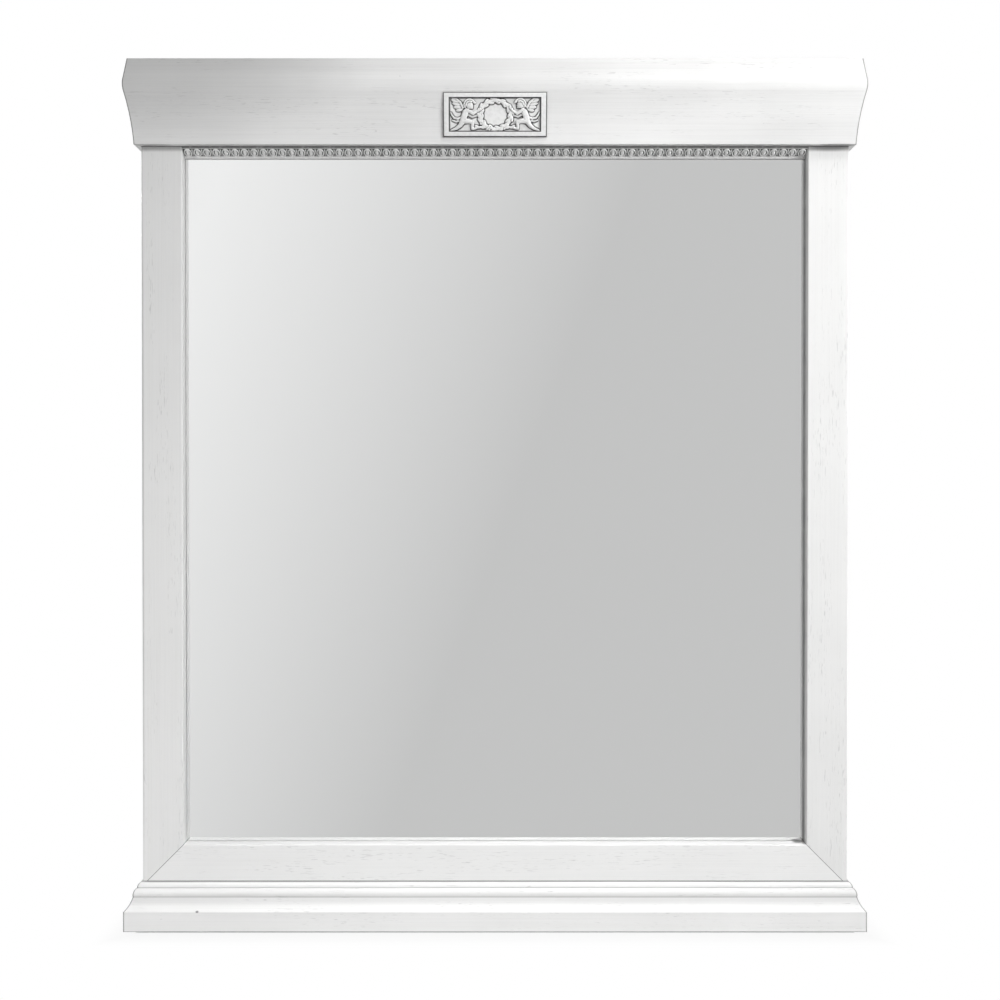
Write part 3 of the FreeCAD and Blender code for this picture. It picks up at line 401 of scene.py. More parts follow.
def soft_rubber(name, level):
    """Matt rubber with a moulded grain and pale dust."""
    material, tree, shader, place = start_material(name, 0.7)
    leather = noise(tree, place, 2200.0, 3.0, 0.6)
    dust = map_range(tree, noise(tree, place, 330.0, 3.0), 0.5, 0.8, 0.0, 0.3)
    colour = mix_colour(tree, dust, grey(level), grey(level * 2.2))
    finish_material(tree, shader, colour, map_range(tree, leather, 0.3, 0.7, 0.6, 0.85), leather, 0.06 * MM)
    return material


HAIR_CELL = (12 * MM, 0.22 * MM)


def plated_steel(name, colour, dull, brushed="Z"):
    """Zinc plating: soft blotches, hairline scratches along one axis and darker spots."""
    material, tree, shader, place = start_material(name, 0.35, 1.0)
    blotches = noise(tree, place, 420.0, 3.0)
    hairs = cell_noise(tree, place, brushed, HAIR_CELL, 2.0)
    spots = map_range(tree, noise(tree, place, 900.0, 2.0), 0.68, 0.76, 0.0, 0.5)
    shade = mix_colour(tree, map_range(tree, blotches, 0.3, 0.7), colour, dull)
    shade = mix_colour(tree, spots, shade, (0.22, 0.21, 0.19, 1))
    rough = math_node(tree, "ADD", map_range(tree, blotches, 0.3, 0.7, 0.26, 0.42),
                      map_range(tree, hairs, 0.5, 0.75, 0.0, 0.16))
    finish_material(tree, shader, shade, rough, hairs, 0.015 * MM, 0.35)
    return material


dress(bare_beech(), "mitre_dowels", "rail_dowels")
dress(grey_card(), "cushion_sheet")
dress(fibre_board(), "backing_panel")
dress(soft_rubber("block_rubber", 0.06), "glass_setting_blocks")
dress(soft_rubber("bumper_rubber", 0.13), "wall_bumpers")
dress(plated_steel("hanger_plating", (0.64, 0.64, 0.62, 1), (0.52, 0.52, 0.51, 1)),
      "keyhole_hanger_left", "keyhole_hanger_right")
dress(plated_steel("button_plating", (0.60, 0.60, 0.58, 1), (0.50, 0.50, 0.48, 1), "X"),
      *BUTTON_NAMES)


# Mirror: clear glass with a silver layer inside it. The layer lies nearer its face than its back, so that
# the dark edge round the reflection is as thin as in the photo

def clear_glass():
    material, _, shader, _ = start_material("clear_glass", 0.0)
    shader.inputs["Base Color"].default_value = (0.992, 0.998, 0.995, 1.0)
    shader.inputs["Transmission Weight"].default_value = 1.0
    shader.inputs["IOR"].default_value = 1.5
    return material


def silver():
    material, _, shader, _ = start_material("silver", 0.0, 1.0)
    shader.inputs["Base Color"].default_value = grey(0.92)
    return material


dress(clear_glass(), "mirror_glass")


# Tools for modelling

def clear_selection():
    if bpy.context.object and bpy.context.object.mode != "OBJECT":
        bpy.ops.object.mode_set(mode="OBJECT")
    bpy.ops.object.select_all(action="DESELECT")


def choose(*pieces):
    """Selects some pieces alone and makes the first of them active."""
    clear_selection()
    for piece in pieces:
        piece.select_set(True)
    bpy.context.view_layer.objects.active = pieces[0]


def settle(piece):
    """Puts a piece's place, turn and size into its mesh."""
    choose(piece)
    bpy.ops.object.transform_apply(location=True, rotation=True, scale=True)
    return piece


def join(pieces, name):
    choose(*pieces)
    bpy.ops.object.join()
    joined = bpy.context.object
    joined.name = name
    joined.data.name = name
    return settle(joined)


def modify(piece, kind, **settings):
    """Adds a modifier and applies it at once."""
    choose(piece)
    modifier = piece.modifiers.new(kind.title(), kind)
    for name, setting in settings.items():
        setattr(modifier, name, setting)
    bpy.ops.object.modifier_apply(modifier=modifier.name)


def add_ball(centre, radii, turn=(0, 0, 0), segments=16, rings=10):
    clear_selection()
    bpy.ops.mesh.primitive_uv_sphere_add(
        segments=segments, ring_count=rings, radius=1, location=centre, rotation=turn)
    bpy.context.object.scale = radii
    return bpy.context.object


def add_cone(start, end, start_radius, end_radius, sides=16):
    """A frustum from one point to another."""
    clear_selection()
    span = Vector(end) - Vector(start)
    bpy.ops.mesh.primitive_cone_add(
        vertices=sides, radius1=start_radius, radius2=end_radius, depth=span.length,
        location=(Vector(start) + Vector(end)) / 2, rotation=span.to_track_quat("Z", "Y").to_euler())
    return bpy.context.object


def add_bar(name, outline, low_x, high_x):
    """A bar with the given outline of (y, z) points, drawn along X."""
    clear_selection()
    bpy.ops.mesh.primitive_circle_add(vertices=len(outline), radius=1, fill_type="NGON")
    bar = bpy.context.object
    bar.name = name
    for vertex, (y, z) in zip(bar.data.vertices, outline):
        vertex.co = (low_x, y, z)
    bpy.ops.object.mode_set(mode="EDIT")
    bpy.ops.mesh.select_all(action="SELECT")
    bpy.ops.mesh.extrude_region_move(TRANSFORM_OT_translate={"value": (high_x - low_x, 0, 0)})
    bpy.ops.mesh.select_all(action="SELECT")
    bpy.ops.mesh.normals_make_consistent(inside=False)
    bpy.ops.object.mode_set(mode="OBJECT")
    return bar


def smooth(piece, angle):
    choose(piece)
    bpy.ops.object.shade_smooth_by_angle(angle=math.radians(angle))


def clamp_to_box(piece, low, high):
    """Flattens what stands out of a box against its sides."""
    for vertex in piece.data.vertices:
        vertex.co = [min(max(value, least), most) for value, least, most in zip(vertex.co, low, high)]


def finish_piece(piece, material, slot, *replaced):
    piece.data.materials.clear()
    piece.data.materials.append(material)
    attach(piece, "mirror_frame")
    if replaced:
        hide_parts(*replaced)


# The mirror's silver

SILVER_INSET = 1.0 * MM
SILVER_DEPTH = 0.1 * MM
SILVER_PLACE_SHARE = 0.35


def make_silver_layer():
    clear_selection()
    centre = (glass_low + glass_high) / 2
    silver_y = glass_low.y + (glass_high.y - glass_low.y) * SILVER_PLACE_SHARE
    bpy.ops.mesh.primitive_cube_add(size=1, location=(centre.x, silver_y, centre.z))
    layer = bpy.context.object
    layer.name = "silver_layer"
    layer.scale = (glass_high.x - glass_low.x - 2 * SILVER_INSET, SILVER_DEPTH,
                   glass_high.z - glass_low.z - 2 * SILVER_INSET)
    finish_piece(settle(layer), silver(), "silvered_glass")


make_silver_layer()


# Carved strip of eggs and darts under the crown

STRIP_PITCH = 12.7 * MM
STRIP_FILLET = 3.4 * MM
STRIP_HOLLOW = 1.6 * MM
STRIP_FOOT_HEIGHT = 2.9 * MM
STRIP_FOOT_DEPTH = 2.2 * MM
STRIP_STEP = 0.9 * MM
STRIP_STEP_DROP = 0.1 * MM
STRIP_HOLLOW_SHARES = (0.14, 0.92)
EGG_PLACE_SHARE = 0.52
EGG_RADII = (2.6 * MM, 5.6 * MM, 2.4 * MM)
EGG_DROP = 0.3 * MM
COLLAR_HALVES = (4.5 * MM, 7.1 * MM)
COLLAR_RADIUS = 0.82 * MM
COLLAR_THICKENING = 1.5
COLLAR_RISE = 0.5 * MM
DART_RADIUS = 0.95 * MM
DART_TIP_RADIUS = 0.25 * MM
DART_REACH_SHARE = 0.40
DART_RISE = 0.2 * MM


def make_egg_unit(x, middle, slope, reach):
    """One egg in its collar with a dart beside it. The slope is the turn about X."""
    turn = (slope, 0, 0)
    out = Matrix.Rotation(slope, 3, "X") @ Vector((0, 0, 1))
    along = Matrix.Rotation(slope, 3, "X") @ Vector((0, 1, 0))
    centre = Vector((x, middle[0], middle[1]))
    egg = add_ball(centre - EGG_DROP * along, EGG_RADII, turn, 10, 8)
    clear_selection()
    bpy.ops.mesh.primitive_torus_add(
        location=centre + COLLAR_RISE * out, rotation=turn, major_segments=16, minor_segments=6,
        major_radius=COLLAR_HALVES[0], minor_radius=COLLAR_RADIUS)
    collar = bpy.context.object
    collar.scale = (1, COLLAR_HALVES[1] / COLLAR_HALVES[0], COLLAR_THICKENING)
    dart_place = centre + Vector((STRIP_PITCH / 2, 0, 0)) + DART_RISE * out
    dart = add_cone(dart_place + reach * along, dart_place - reach * along, DART_RADIUS, DART_TIP_RADIUS, 5)
    return join([egg, collar, dart], "egg_unit")


def strip_slope():
    """Upper and lower edge of the carved slope, and the way that it faces."""
    low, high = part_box("egg_and_dart_strip")
    upper = Vector((0, low.y, high.z - STRIP_FILLET))
    lower = Vector((0, high.y - STRIP_FOOT_DEPTH, low.z + STRIP_FOOT_HEIGHT))
    chord = lower - upper
    return upper, lower, Vector((0, chord.z, -chord.y)).normalized()


def make_strip(material):
    low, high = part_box("egg_and_dart_strip")
    upper, lower, out = strip_slope()
    chord = lower - upper
    bed_upper, bed_lower = [upper + chord * share - STRIP_HOLLOW * out for share in STRIP_HOLLOW_SHARES]
    bed = add_bar("egg_and_dart", [
        (low.y, high.z), (low.y, upper.z), (low.y + STRIP_STEP, upper.z - STRIP_STEP_DROP),
        (bed_upper.y, bed_upper.z), (bed_lower.y, bed_lower.z), (lower.y, lower.z), (lower.y, low.z),
        (high.y, low.z), (high.y, high.z),
    ], low.x, high.x)
    count = round((high.x - low.x) / STRIP_PITCH)
    pitch = (high.x - low.x) / count
    middle = upper + chord * EGG_PLACE_SHARE
    slope = math.atan2(-out.y, out.z)
    unit = make_egg_unit(low.x + pitch / 2, (middle.y, middle.z), slope, chord.length * DART_REACH_SHARE)
    modify(unit, "ARRAY", count=count, use_relative_offset=False, use_constant_offset=True,
           constant_offset_displace=(pitch, 0, 0))
    strip = join([bed, unit], "egg_and_dart")
    clamp_to_box(strip, low, high)
    smooth(strip, 40)
    finish_piece(strip, material, "white_wood", "egg_and_dart_strip")


# Relief plaque. Its own frame has X to the right, Z up the slope and -Y out of the face

PLAQUE_LEAN = math.radians(8.3)
PLAQUE_WIDTH = 138.0 * MM
PLAQUE_HEIGHT = 57.4 * MM
PLAQUE_THICKNESS = 7.0 * MM
PLAQUE_BORDER = 7.2 * MM
PLAQUE_SIDE_BORDER = 8.2 * MM
PLAQUE_RECESS = 2.6 * MM
RELIEF_GRAIN = 0.42 * MM
RELIEF_FLATNESS = 0.62
RELIEF_RISE_SHARE = 0.951
RELIEF_SINK = 0.9
RELIEF_SLAB = 1.2 * MM
RELIEF_SLAB_LAP = 1.0 * MM
RELIEF_PROUD = 1.0 * MM
PANEL_SINK = 0.6 * MM
PANEL_EDGE = 0.7 * MM
# Patina beside the forms and in their folds: rounds of averaging, the depth that fills it and its start
PATINA_WIDE = (14, 0.12 * MM, 0.30)
PATINA_FINE = (4, 0.05 * MM, 0.35)
PATINA_RIM = 0.8 * MM
PANEL_INNER_LINE = 1.3 * MM
PANEL_OUTER_LINE = 1.2 * MM
PANEL_CORE_SHARE = 0.45
WREATH_MIDDLE = (0.6, 31.0)
WREATH_RADIUS = 19.4
WREATH_WIDENING = 1.06


def plaque_origin():
    """Foot of the plaque's face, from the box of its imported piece."""
    low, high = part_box("relief_plaque")
    return Vector((0, high.y - PLAQUE_THICKNESS * math.cos(PLAQUE_LEAN), low.z))


def lean_back(piece):
    """Takes a piece from the plaque's own frame to the slope of the crown."""
    piece.data.transform(Matrix.Translation(plaque_origin()) @ Matrix.Rotation(PLAQUE_LEAN, 4, "X"))


def at(u, v, w=0.0):
    """Point of the relief in millimetres: along, up the slope, and out from its ground."""
    return Vector((u * MM, -w * MM, (v * RELIEF_RISE_SHARE - RELIEF_SINK) * MM))


def relief_ball(u, v, w, radii, turn=0.0):
    """Radii are along, out and up, and the turn is in the plane of the plaque, in degrees."""
    return add_ball(at(u, v, w), [radius * MM for radius in radii], (0, math.radians(-turn), 0))


def relief_limb(*joints):
    """Balls joined by cones. Each joint is a place (u, v, w) and a radius."""
    made = []
    for place, radius in joints:
        made.append(add_ball(at(*place), [radius * MM] * 3, (0, 0, 0), 14, 9))
    for (place, radius), (next_place, next_radius) in zip(joints, joints[1:]):
        made.append(add_cone(at(*place), at(*next_place), radius * MM, next_radius * MM, 14))
    return made


def make_wing(side):
    """Broad feathers that fan out from the shoulder, under a rounded leading edge."""
    made = relief_limb(((side * 43.0, 41.0, 1.4), 1.6), ((side * 46.4, 48.0, 1.8), 1.5),
                       ((side * 51.4, 52.0, 1.6), 1.3), ((side * 57.2, 52.4, 1.2), 0.9))
    feathers = (((46.6, 47.4), (57.8, 51.0)), ((45.2, 44.2), (56.4, 46.4)), ((44.4, 41.2), (54.2, 41.4)),
                ((43.8, 38.6), (51.2, 36.8)))
    for step, ((root_u, root_v), (tip_u, tip_v)) in enumerate(feathers):
        length = math.hypot(tip_u - root_u, tip_v - root_v)
        angle = math.degrees(math.atan2(tip_v - root_v, side * (tip_u - root_u)))
        made.append(relief_ball(side * (root_u + tip_u) / 2, (root_v + tip_v) / 2, 1.2 - 0.15 * step,
                                (length / 2 + 0.9, 1.5, 2.25), angle))
    return made


def make_head(side, u, v):
    """A child's head in profile, with a cap of locks and a plain face."""
    face = -side
    made = [relief_ball(u, v, 2.4, (4.7, 3.8, 5.0)),
            relief_ball(u + face * 2.3, v - 2.4, 2.2, (2.9, 3.1, 2.8)),
            relief_ball(u + face * 4.0, v - 4.3, 1.8, (1.4, 1.8, 1.1)),
            relief_ball(u + face * 5.0, v - 1.2, 1.8, (0.8, 1.0, 0.8)),
            relief_ball(u + face * 4.3, v + 1.0, 1.9, (1.1, 1.6, 1.2)),
            relief_ball(u - face * 0.4, v - 1.4, 5.2, (0.9, 1.6, 1.3))]
    locks = ((6.6, 3.6, 3.2, 1.6, -38), (4.4, 5.8, 3.4, 1.7, -24), (1.4, 6.9, 3.4, 1.8, -4),
             (-1.9, 6.4, 3.4, 1.8, 24), (-4.6, 4.4, 3.3, 1.8, 50), (-6.0, 1.4, 3.1, 1.7, 76),
             (-5.6, -1.8, 2.6, 1.5, 104))
    for along, up, length, width, angle in locks:
        made.append(relief_ball(u + face * along, v + up, 2.6, (length, 2.2, width), face * angle))
    for along, up, angle in ((1.6, 4.2, -8), (-1.6, 3.4, 30), (-3.4, 0.8, 64)):
        made.append(relief_ball(u + face * along, v + up, 4.9, (2.7, 1.5, 1.2), face * angle))
    return made


def make_figure(side, lift=0.0, head_place=(34.6, 44.2), hand=(19.6, 38.0)):
    """A winged child that runs towards the wreath and holds it."""
    def joint(u, v, w, radius):
        return (side * u, v + lift, w), radius

    head_u, head_v = head_place
    made = make_head(side, side * head_u, head_v + lift)
    made += make_wing(side)
    made += relief_limb(joint(37.4, 38.0, 1.8, 2.3), joint(39.4, 34.0, 2.2, 4.1),
                        joint(41.4, 28.6, 2.4, 4.0), joint(42.6, 23.6, 2.0, 4.3))
    made += relief_limb(joint(36.4, 36.6, 3.6, 2.3), joint(29.6, 31.8, 3.4, 1.8),
                        joint(24.4, 35.4, 3.0, 1.5), joint(*hand, 2.8, 1.7))
    made += relief_limb(joint(35.0, 30.4, 1.2, 1.4), joint(30.6, 28.0, 1.2, 1.3), joint(25.0, 29.8, 1.0, 1.2))
    made += relief_limb(joint(42.4, 22.6, 2.2, 3.9), joint(35.4, 22.0, 3.0, 3.1), joint(29.8, 20.8, 3.2, 2.5),
                        joint(30.4, 15.4, 2.4, 2.1), joint(30.6, 11.6, 2.0, 1.6), joint(26.4, 12.2, 1.8, 1.5),
                        joint(22.6, 13.6, 1.4, 1.1))
    made += relief_limb(joint(43.6, 21.6, 1.8, 3.8), joint(46.6, 16.4, 1.8, 2.8), joint(51.6, 12.4, 1.4, 2.0),
                        joint(56.0, 10.6, 1.0, 1.5), joint(59.0, 9.4, 0.8, 1.1))
    made += relief_limb(joint(44.0, 27.2, 1.8, 1.7), joint(49.8, 25.4, 2.0, 1.5), joint(54.6, 26.4, 1.6, 1.3),
                        joint(57.6, 30.4, 1.2, 1.1), joint(59.2, 34.0, 0.8, 0.8))
    made += relief_limb(joint(46.0, 23.6, 1.0, 1.4), joint(52.0, 21.6, 1.2, 1.2), joint(57.0, 23.4, 0.8, 0.8))
    return made


def make_wreath():
    """Overlapping leaves round a ring, with berries, a blossom below and two short swags."""
    random.seed(7)
    middle_u, middle_v = WREATH_MIDDLE

    def on_wreath(angle, radius):
        bend = math.radians(angle)
        return middle_u + radius * WREATH_WIDENING * math.cos(bend), middle_v + radius * math.sin(bend)

    made = []
    clear_selection()
    bpy.ops.mesh.primitive_torus_add(
        location=at(middle_u, middle_v, 0.6), rotation=(math.pi / 2, 0, 0), major_segments=48,
        minor_segments=10, major_radius=WREATH_RADIUS * MM, minor_radius=2.5 * MM)
    ring = bpy.context.object
    ring.scale = (WREATH_WIDENING, RELIEF_RISE_SHARE, 1)
    made.append(ring)
    count = 13
    for step in range(count):
        angle = 360.0 * step / count + random.uniform(-4, 4)
        for ring_offset, splay, lift in ((-2.0, -30, 1.5), (2.0, 30, 1.6)):
            size = random.uniform(0.92, 1.12)
            u, v = on_wreath(angle + (0 if splay < 0 else 12), WREATH_RADIUS + ring_offset)
            made.append(relief_ball(u, v, lift, (4.3 * size, 1.7, 2.0 * size), angle + 90 + splay))
    for angle in (20, 75, 104, 160, 214, 250, 300, 338):
        u, v = on_wreath(angle, WREATH_RADIUS + 3.0 * (-1) ** angle)
        made.append(relief_ball(u, v, 2.0, (1.5, 1.8, 1.5)))
    for petal in range(5):
        bend = math.radians(72 * petal)
        made.append(relief_ball(-8.6 + 2.3 * math.cos(bend), 12.6 + 2.3 * math.sin(bend), 2.8,
                                (1.9, 1.4, 1.4), 72 * petal))
    made.append(relief_ball(-8.6, 12.6, 3.6, (1.1, 1.3, 1.1)))
    for side in (-1, 1):
        for step in range(4):
            u = side * (13.6 + 3.6 * step)
            v = 14.2 - 1.2 * step + 0.5 * step * step
            made.append(relief_ball(u, v, 1.5, (3.2, 1.7, 1.6), side * (-16 + 34 * (step % 2))))
    return made


def depth_below_neighbours(height, edges, links, rounds):
    """How far each point lies below the mean of the points around it."""
    average = height.copy()
    for _ in range(rounds):
        total = np.bincount(edges[:, 0], average[edges[:, 1]], len(height))
        total += np.bincount(edges[:, 1], average[edges[:, 0]], len(height))
        average = total / np.maximum(links, 1)
    return average - height


def patina_of_relief(piece, half_width, low_v, high_v):
    """Darkness left beside the forms and in their folds, and along the recess's edge."""
    mesh = piece.data
    edges = np.array([edge.vertices[:] for edge in mesh.edges])
    places = np.array([vertex.co[:] for vertex in mesh.vertices])
    height = -places[:, 1]
    links = np.bincount(edges.ravel(), minlength=len(height))
    rim = np.minimum.reduce([half_width - np.abs(places[:, 0]), places[:, 2] - low_v, high_v - places[:, 2]])
    hollow = np.clip(1.5 - rim / PATINA_RIM, 0, 1)
    for rounds, depth, start in (PATINA_WIDE, PATINA_FINE):
        below = depth_below_neighbours(height, edges, links, rounds)
        hollow = np.maximum(hollow, np.clip(below / depth - start, 0, 1))
    layer = mesh.attributes.new("patina", "FLOAT", "POINT")
    layer.data.foreach_set("value", hollow.astype(np.float32))


def make_relief(material):
    """Figures and wreath, grown together with the ground that they stand on."""
    made = make_wreath()
    made += make_figure(-1)
    made += make_figure(1, 0.3, (34.4, 44.6), (20.2, 40.2))
    relief = join(made, "plaque_relief")
    for vertex in relief.data.vertices:
        vertex.co.y *= RELIEF_FLATNESS
    half_width = PLAQUE_WIDTH / 2 - PLAQUE_SIDE_BORDER
    low_v, high_v = PLAQUE_BORDER, PLAQUE_HEIGHT - PLAQUE_BORDER
    clear_selection()
    bpy.ops.mesh.primitive_cube_add(size=1, location=(0, RELIEF_SLAB / 2, (low_v + high_v) / 2))
    slab = bpy.context.object
    slab.scale = (2 * (half_width + RELIEF_SLAB_LAP), RELIEF_SLAB, high_v - low_v + 2 * RELIEF_SLAB_LAP)
    relief = join([relief, slab], "plaque_relief")
    modify(relief, "REMESH", mode="VOXEL", voxel_size=RELIEF_GRAIN, adaptivity=0.0)
    modify(relief, "SMOOTH", factor=0.5, iterations=2)
    patina_of_relief(relief, half_width, low_v, high_v)
    clamp_to_box(relief, (-half_width, -PLAQUE_RECESS - RELIEF_PROUD, low_v),
                 (half_width, RELIEF_SLAB, high_v))
    relief.data.transform(Matrix.Translation((0, PLAQUE_RECESS, 0)))
    for polygon in relief.data.polygons:
        polygon.use_smooth = True
    lean_back(relief)
    finish_piece(relief, material, "carved_plaque")


def make_panel(material):
    """The panel and its raised border, with softened edges."""
    clear_selection()
    bpy.ops.mesh.primitive_cube_add(size=1, location=(0, PLAQUE_THICKNESS / 2, PLAQUE_HEIGHT / 2))
    panel = bpy.context.object
    panel.scale = (PLAQUE_WIDTH, PLAQUE_THICKNESS, PLAQUE_HEIGHT)
    settle(panel)
    bpy.ops.object.mode_set(mode="EDIT")
    bpy.ops.mesh.select_mode(type="FACE")
    bpy.ops.mesh.select_all(action="DESELECT")
    bpy.ops.object.mode_set(mode="OBJECT")
    for polygon in panel.data.polygons:
        polygon.select = polygon.normal.y < -0.9
    bpy.ops.object.mode_set(mode="EDIT")
    bpy.ops.mesh.inset(thickness=PLAQUE_BORDER)
    widen = (PLAQUE_WIDTH / 2 - PLAQUE_SIDE_BORDER) / (PLAQUE_WIDTH / 2 - PLAQUE_BORDER)
    bpy.ops.transform.resize(value=(widen, 1, 1), center_override=(0, 0, 0))
    bpy.ops.mesh.extrude_region_move(TRANSFORM_OT_translate={"value": (0, PLAQUE_RECESS + PANEL_SINK, 0)})
    bpy.ops.object.mode_set(mode="OBJECT")
    modify(panel, "BEVEL", width=PANEL_EDGE, segments=3, limit_method="ANGLE")
    panel.name = "plaque_panel"
    smooth(panel, 35)
    lean_back(panel)
    finish_piece(panel, material, "carved_plaque", "relief_plaque")


def rectangle_line(tree, parts, half_width, low_v, high_v, thickness):
    """One along the edge of a rectangle in the plaque's frame."""
    across = minus(tree, either_side(tree, parts[0]), half_width)
    up = either_side(tree, minus(tree, parts[2], (low_v + high_v) / 2))
    up = minus(tree, up, (high_v - low_v) / 2)
    off_line = either_side(tree, math_node(tree, "MAXIMUM", across, up))
    return map_range(tree, off_line, thickness * PANEL_CORE_SHARE, thickness, 1.0, 0.0)


def panel_lines(tree, place):
    """Patina round the plaque and along the inner edge of its border."""
    leaning = add_node(tree, "ShaderNodeMapping",
                       {"Vector": place, "Location": plaque_origin(), "Rotation": (PLAQUE_LEAN, 0, 0)},
                       vector_type="TEXTURE")
    parts = split(tree, leaning.outputs[0])
    inner = rectangle_line(tree, parts, PLAQUE_WIDTH / 2 - PLAQUE_SIDE_BORDER, PLAQUE_BORDER,
                           PLAQUE_HEIGHT - PLAQUE_BORDER, PANEL_INNER_LINE)
    outer = rectangle_line(tree, parts, PLAQUE_WIDTH / 2, 0.0, PLAQUE_HEIGHT, PANEL_OUTER_LINE)
    return math_node(tree, "MAXIMUM", inner, outer)


def relief_hollows(tree, place):
    """Patina that the relief's mesh holds as an attribute."""
    return add_node(tree, "ShaderNodeAttribute", attribute_name="patina").outputs["Fac"]


def strip_patina_and_shadow(tree, place):
    """Patina between the eggs and darts, and a painted shadow on the fillet close under the crown."""
    upper, lower, out = strip_slope()
    from_slope = add_node(tree, "ShaderNodeVectorMath", {0: place, 1: upper}, operation="SUBTRACT").outputs[0]
    proud = add_node(tree, "ShaderNodeVectorMath", {0: from_slope, 1: out}, operation="DOT_PRODUCT")
    hollow = map_range(tree, proud.outputs["Value"], -1.0 * MM, 0.6 * MM, 0.85, 0.0)
    rise = split(tree, from_slope)[2]
    foot = lower.z - upper.z
    hollow = product(tree, hollow, map_range(tree, rise, foot - 0.1 * MM, foot + 0.6 * MM))
    # Painted shadow from the crown on the fillet
    painted_crown_shadow = map_range(tree, rise, 0.0, 1.6 * MM, 0.0, 0.9)
    return math_node(tree, "MAXIMUM", hollow, painted_crown_shadow)


def carved_white(name, patina_and_shade, light, dull):
    """White lacquer with a dark patina wiped out of the hollows, and on the strip a painted shadow under the
    crown.
    """
    material, tree, shader, place = start_material(name, LACQUER_ROUGHNESS)
    cloud = map_range(tree, noise(tree, place, 240.0, 3.0), 0.35, 0.7)
    wiped = map_range(tree, noise(tree, place, 160.0, 2.0), 0.2, 0.5, 0.8, 1.0)
    dark = product(tree, patina_and_shade(tree, place), wiped)
    colour = mix_colour(tree, cloud, light, dull)
    colour = mix_colour(tree, product(tree, dark, PATINA_STRENGTH), colour, PATINA)
    shine = map_range(tree, noise(tree, place, 90.0, 3.0), 0.3, 0.7, *SATIN)
    shine = math_node(tree, "ADD", shine, product(tree, dark, 0.3))
    finish_material(tree, shader, colour, shine, noise(tree, place, 900.0, 3.0), 0.05 * MM)
    return material


CARVING_WHITE = (0.90, 0.90, 0.895, 1.0)
STRIP_WHITE = (0.94, 0.94, 0.935, 1.0)
STRIP_DULL = (0.86, 0.86, 0.855, 1.0)
PATINA = grey(0.035)
PATINA_STRENGTH = 0.96

make_strip(carved_white("carved_white_strip", strip_patina_and_shadow, STRIP_WHITE, STRIP_DULL))
make_panel(carved_white("carved_white_panel", panel_lines, CARVING_WHITE, WOOD_WHITE))
make_relief(carved_white("carved_white_relief", relief_hollows, CARVING_WHITE, WOOD_WHITE))


# Screws with domed heads and cross recesses

SCREW_TIP_LENGTH = 4.0 * MM
DOME_STEPS = 5
DOME_SHARE = 0.5
RECESS_SPAN_SHARE = 1.15
RECESS_WIDTH_SHARE = 0.26
RECESS_DEPTH_SHARE = 0.62
# Each screw of a group stops at another turn
FIRST_SPIN = math.radians(11)
SPIN_STEP = math.radians(37)


def add_turned(name, outline, steps=20):
    """A closed turned piece. Its outline of (radius, rise) points begins and ends on the Z axis."""
    clear_selection()
    bpy.ops.mesh.primitive_circle_add(vertices=len(outline), radius=1, fill_type="NOTHING")
    turned = bpy.context.object
    turned.name = name
    vertices = turned.data.vertices
    for vertex, (radius, rise) in zip(vertices, outline):
        vertex.co = (radius, 0, rise)
    bpy.ops.object.mode_set(mode="EDIT")
    bpy.ops.mesh.select_mode(type="EDGE")
    bpy.ops.mesh.select_all(action="DESELECT")
    bpy.ops.object.mode_set(mode="OBJECT")
    for edge in turned.data.edges:
        edge.select = all(vertices[index].co.x < 1e-7 for index in edge.vertices)
    bpy.ops.object.mode_set(mode="EDIT")
    bpy.ops.mesh.delete(type="EDGE")
    bpy.ops.mesh.select_all(action="SELECT")
    bpy.ops.mesh.spin(steps=steps, angle=2 * math.pi, center=(0, 0, 0), axis=(0, 0, 1))
    bpy.ops.mesh.select_all(action="SELECT")
    bpy.ops.mesh.remove_doubles(threshold=1e-6)
    bpy.ops.mesh.normals_make_consistent(inside=False)
    bpy.ops.object.mode_set(mode="OBJECT")
    return turned


def make_screw(length, radius, head_radius, head_height):
    """A screw whose head lies at the origin and whose tip is up the Z axis."""
    dome = []
    for step in range(DOME_STEPS + 1):
        bend = math.radians(90) * step / DOME_STEPS
        dome.append((head_radius * math.sin(bend), head_height * DOME_SHARE * (1 - math.cos(bend))))
    screw = add_turned("screw", dome + [(head_radius, head_height), (radius, head_height),
                                        (radius, length - SCREW_TIP_LENGTH), (0, length)])
    depth = head_height * RECESS_DEPTH_SHARE
    for turn in (0, math.pi / 2):
        clear_selection()
        bpy.ops.mesh.primitive_cube_add(size=1, location=(0, 0, 0), rotation=(0, 0, turn))
        cutter = bpy.context.object
        cutter.scale = (head_radius * RECESS_SPAN_SHARE, head_radius * RECESS_WIDTH_SHARE, 2 * depth)
        modify(screw, "BOOLEAN", operation="DIFFERENCE", object=settle(cutter), solver="EXACT")
        bpy.data.objects.remove(cutter)
    return screw


def make_screws(name, node, screw, heads, way):
    """Copies of one screw at the given heads, as one piece in place of its node."""
    turn = Vector(way).to_track_quat("Z", "Y").to_matrix().to_4x4()
    copies = []
    for index, head in enumerate(heads):
        twin = screw.copy()
        twin.data = screw.data.copy()
        bpy.context.scene.collection.objects.link(twin)
        spin = Matrix.Rotation(FIRST_SPIN + SPIN_STEP * index, 4, "Z")
        twin.data.transform(Matrix.Translation(head) @ turn @ spin)
        copies.append(twin)
    bpy.data.objects.remove(screw)
    group = join(copies, name)
    smooth(group, 35)
    finish_piece(group, screw_plating, "screw_steel", node)


def spread(node, count, inset, axis=0):
    """Equal places along an axis between the first and last screw of a group."""
    low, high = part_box(node)
    first, last = low[axis] + inset, high[axis] - inset
    return [first + (last - first) * index / (count - 1) for index in range(count)]


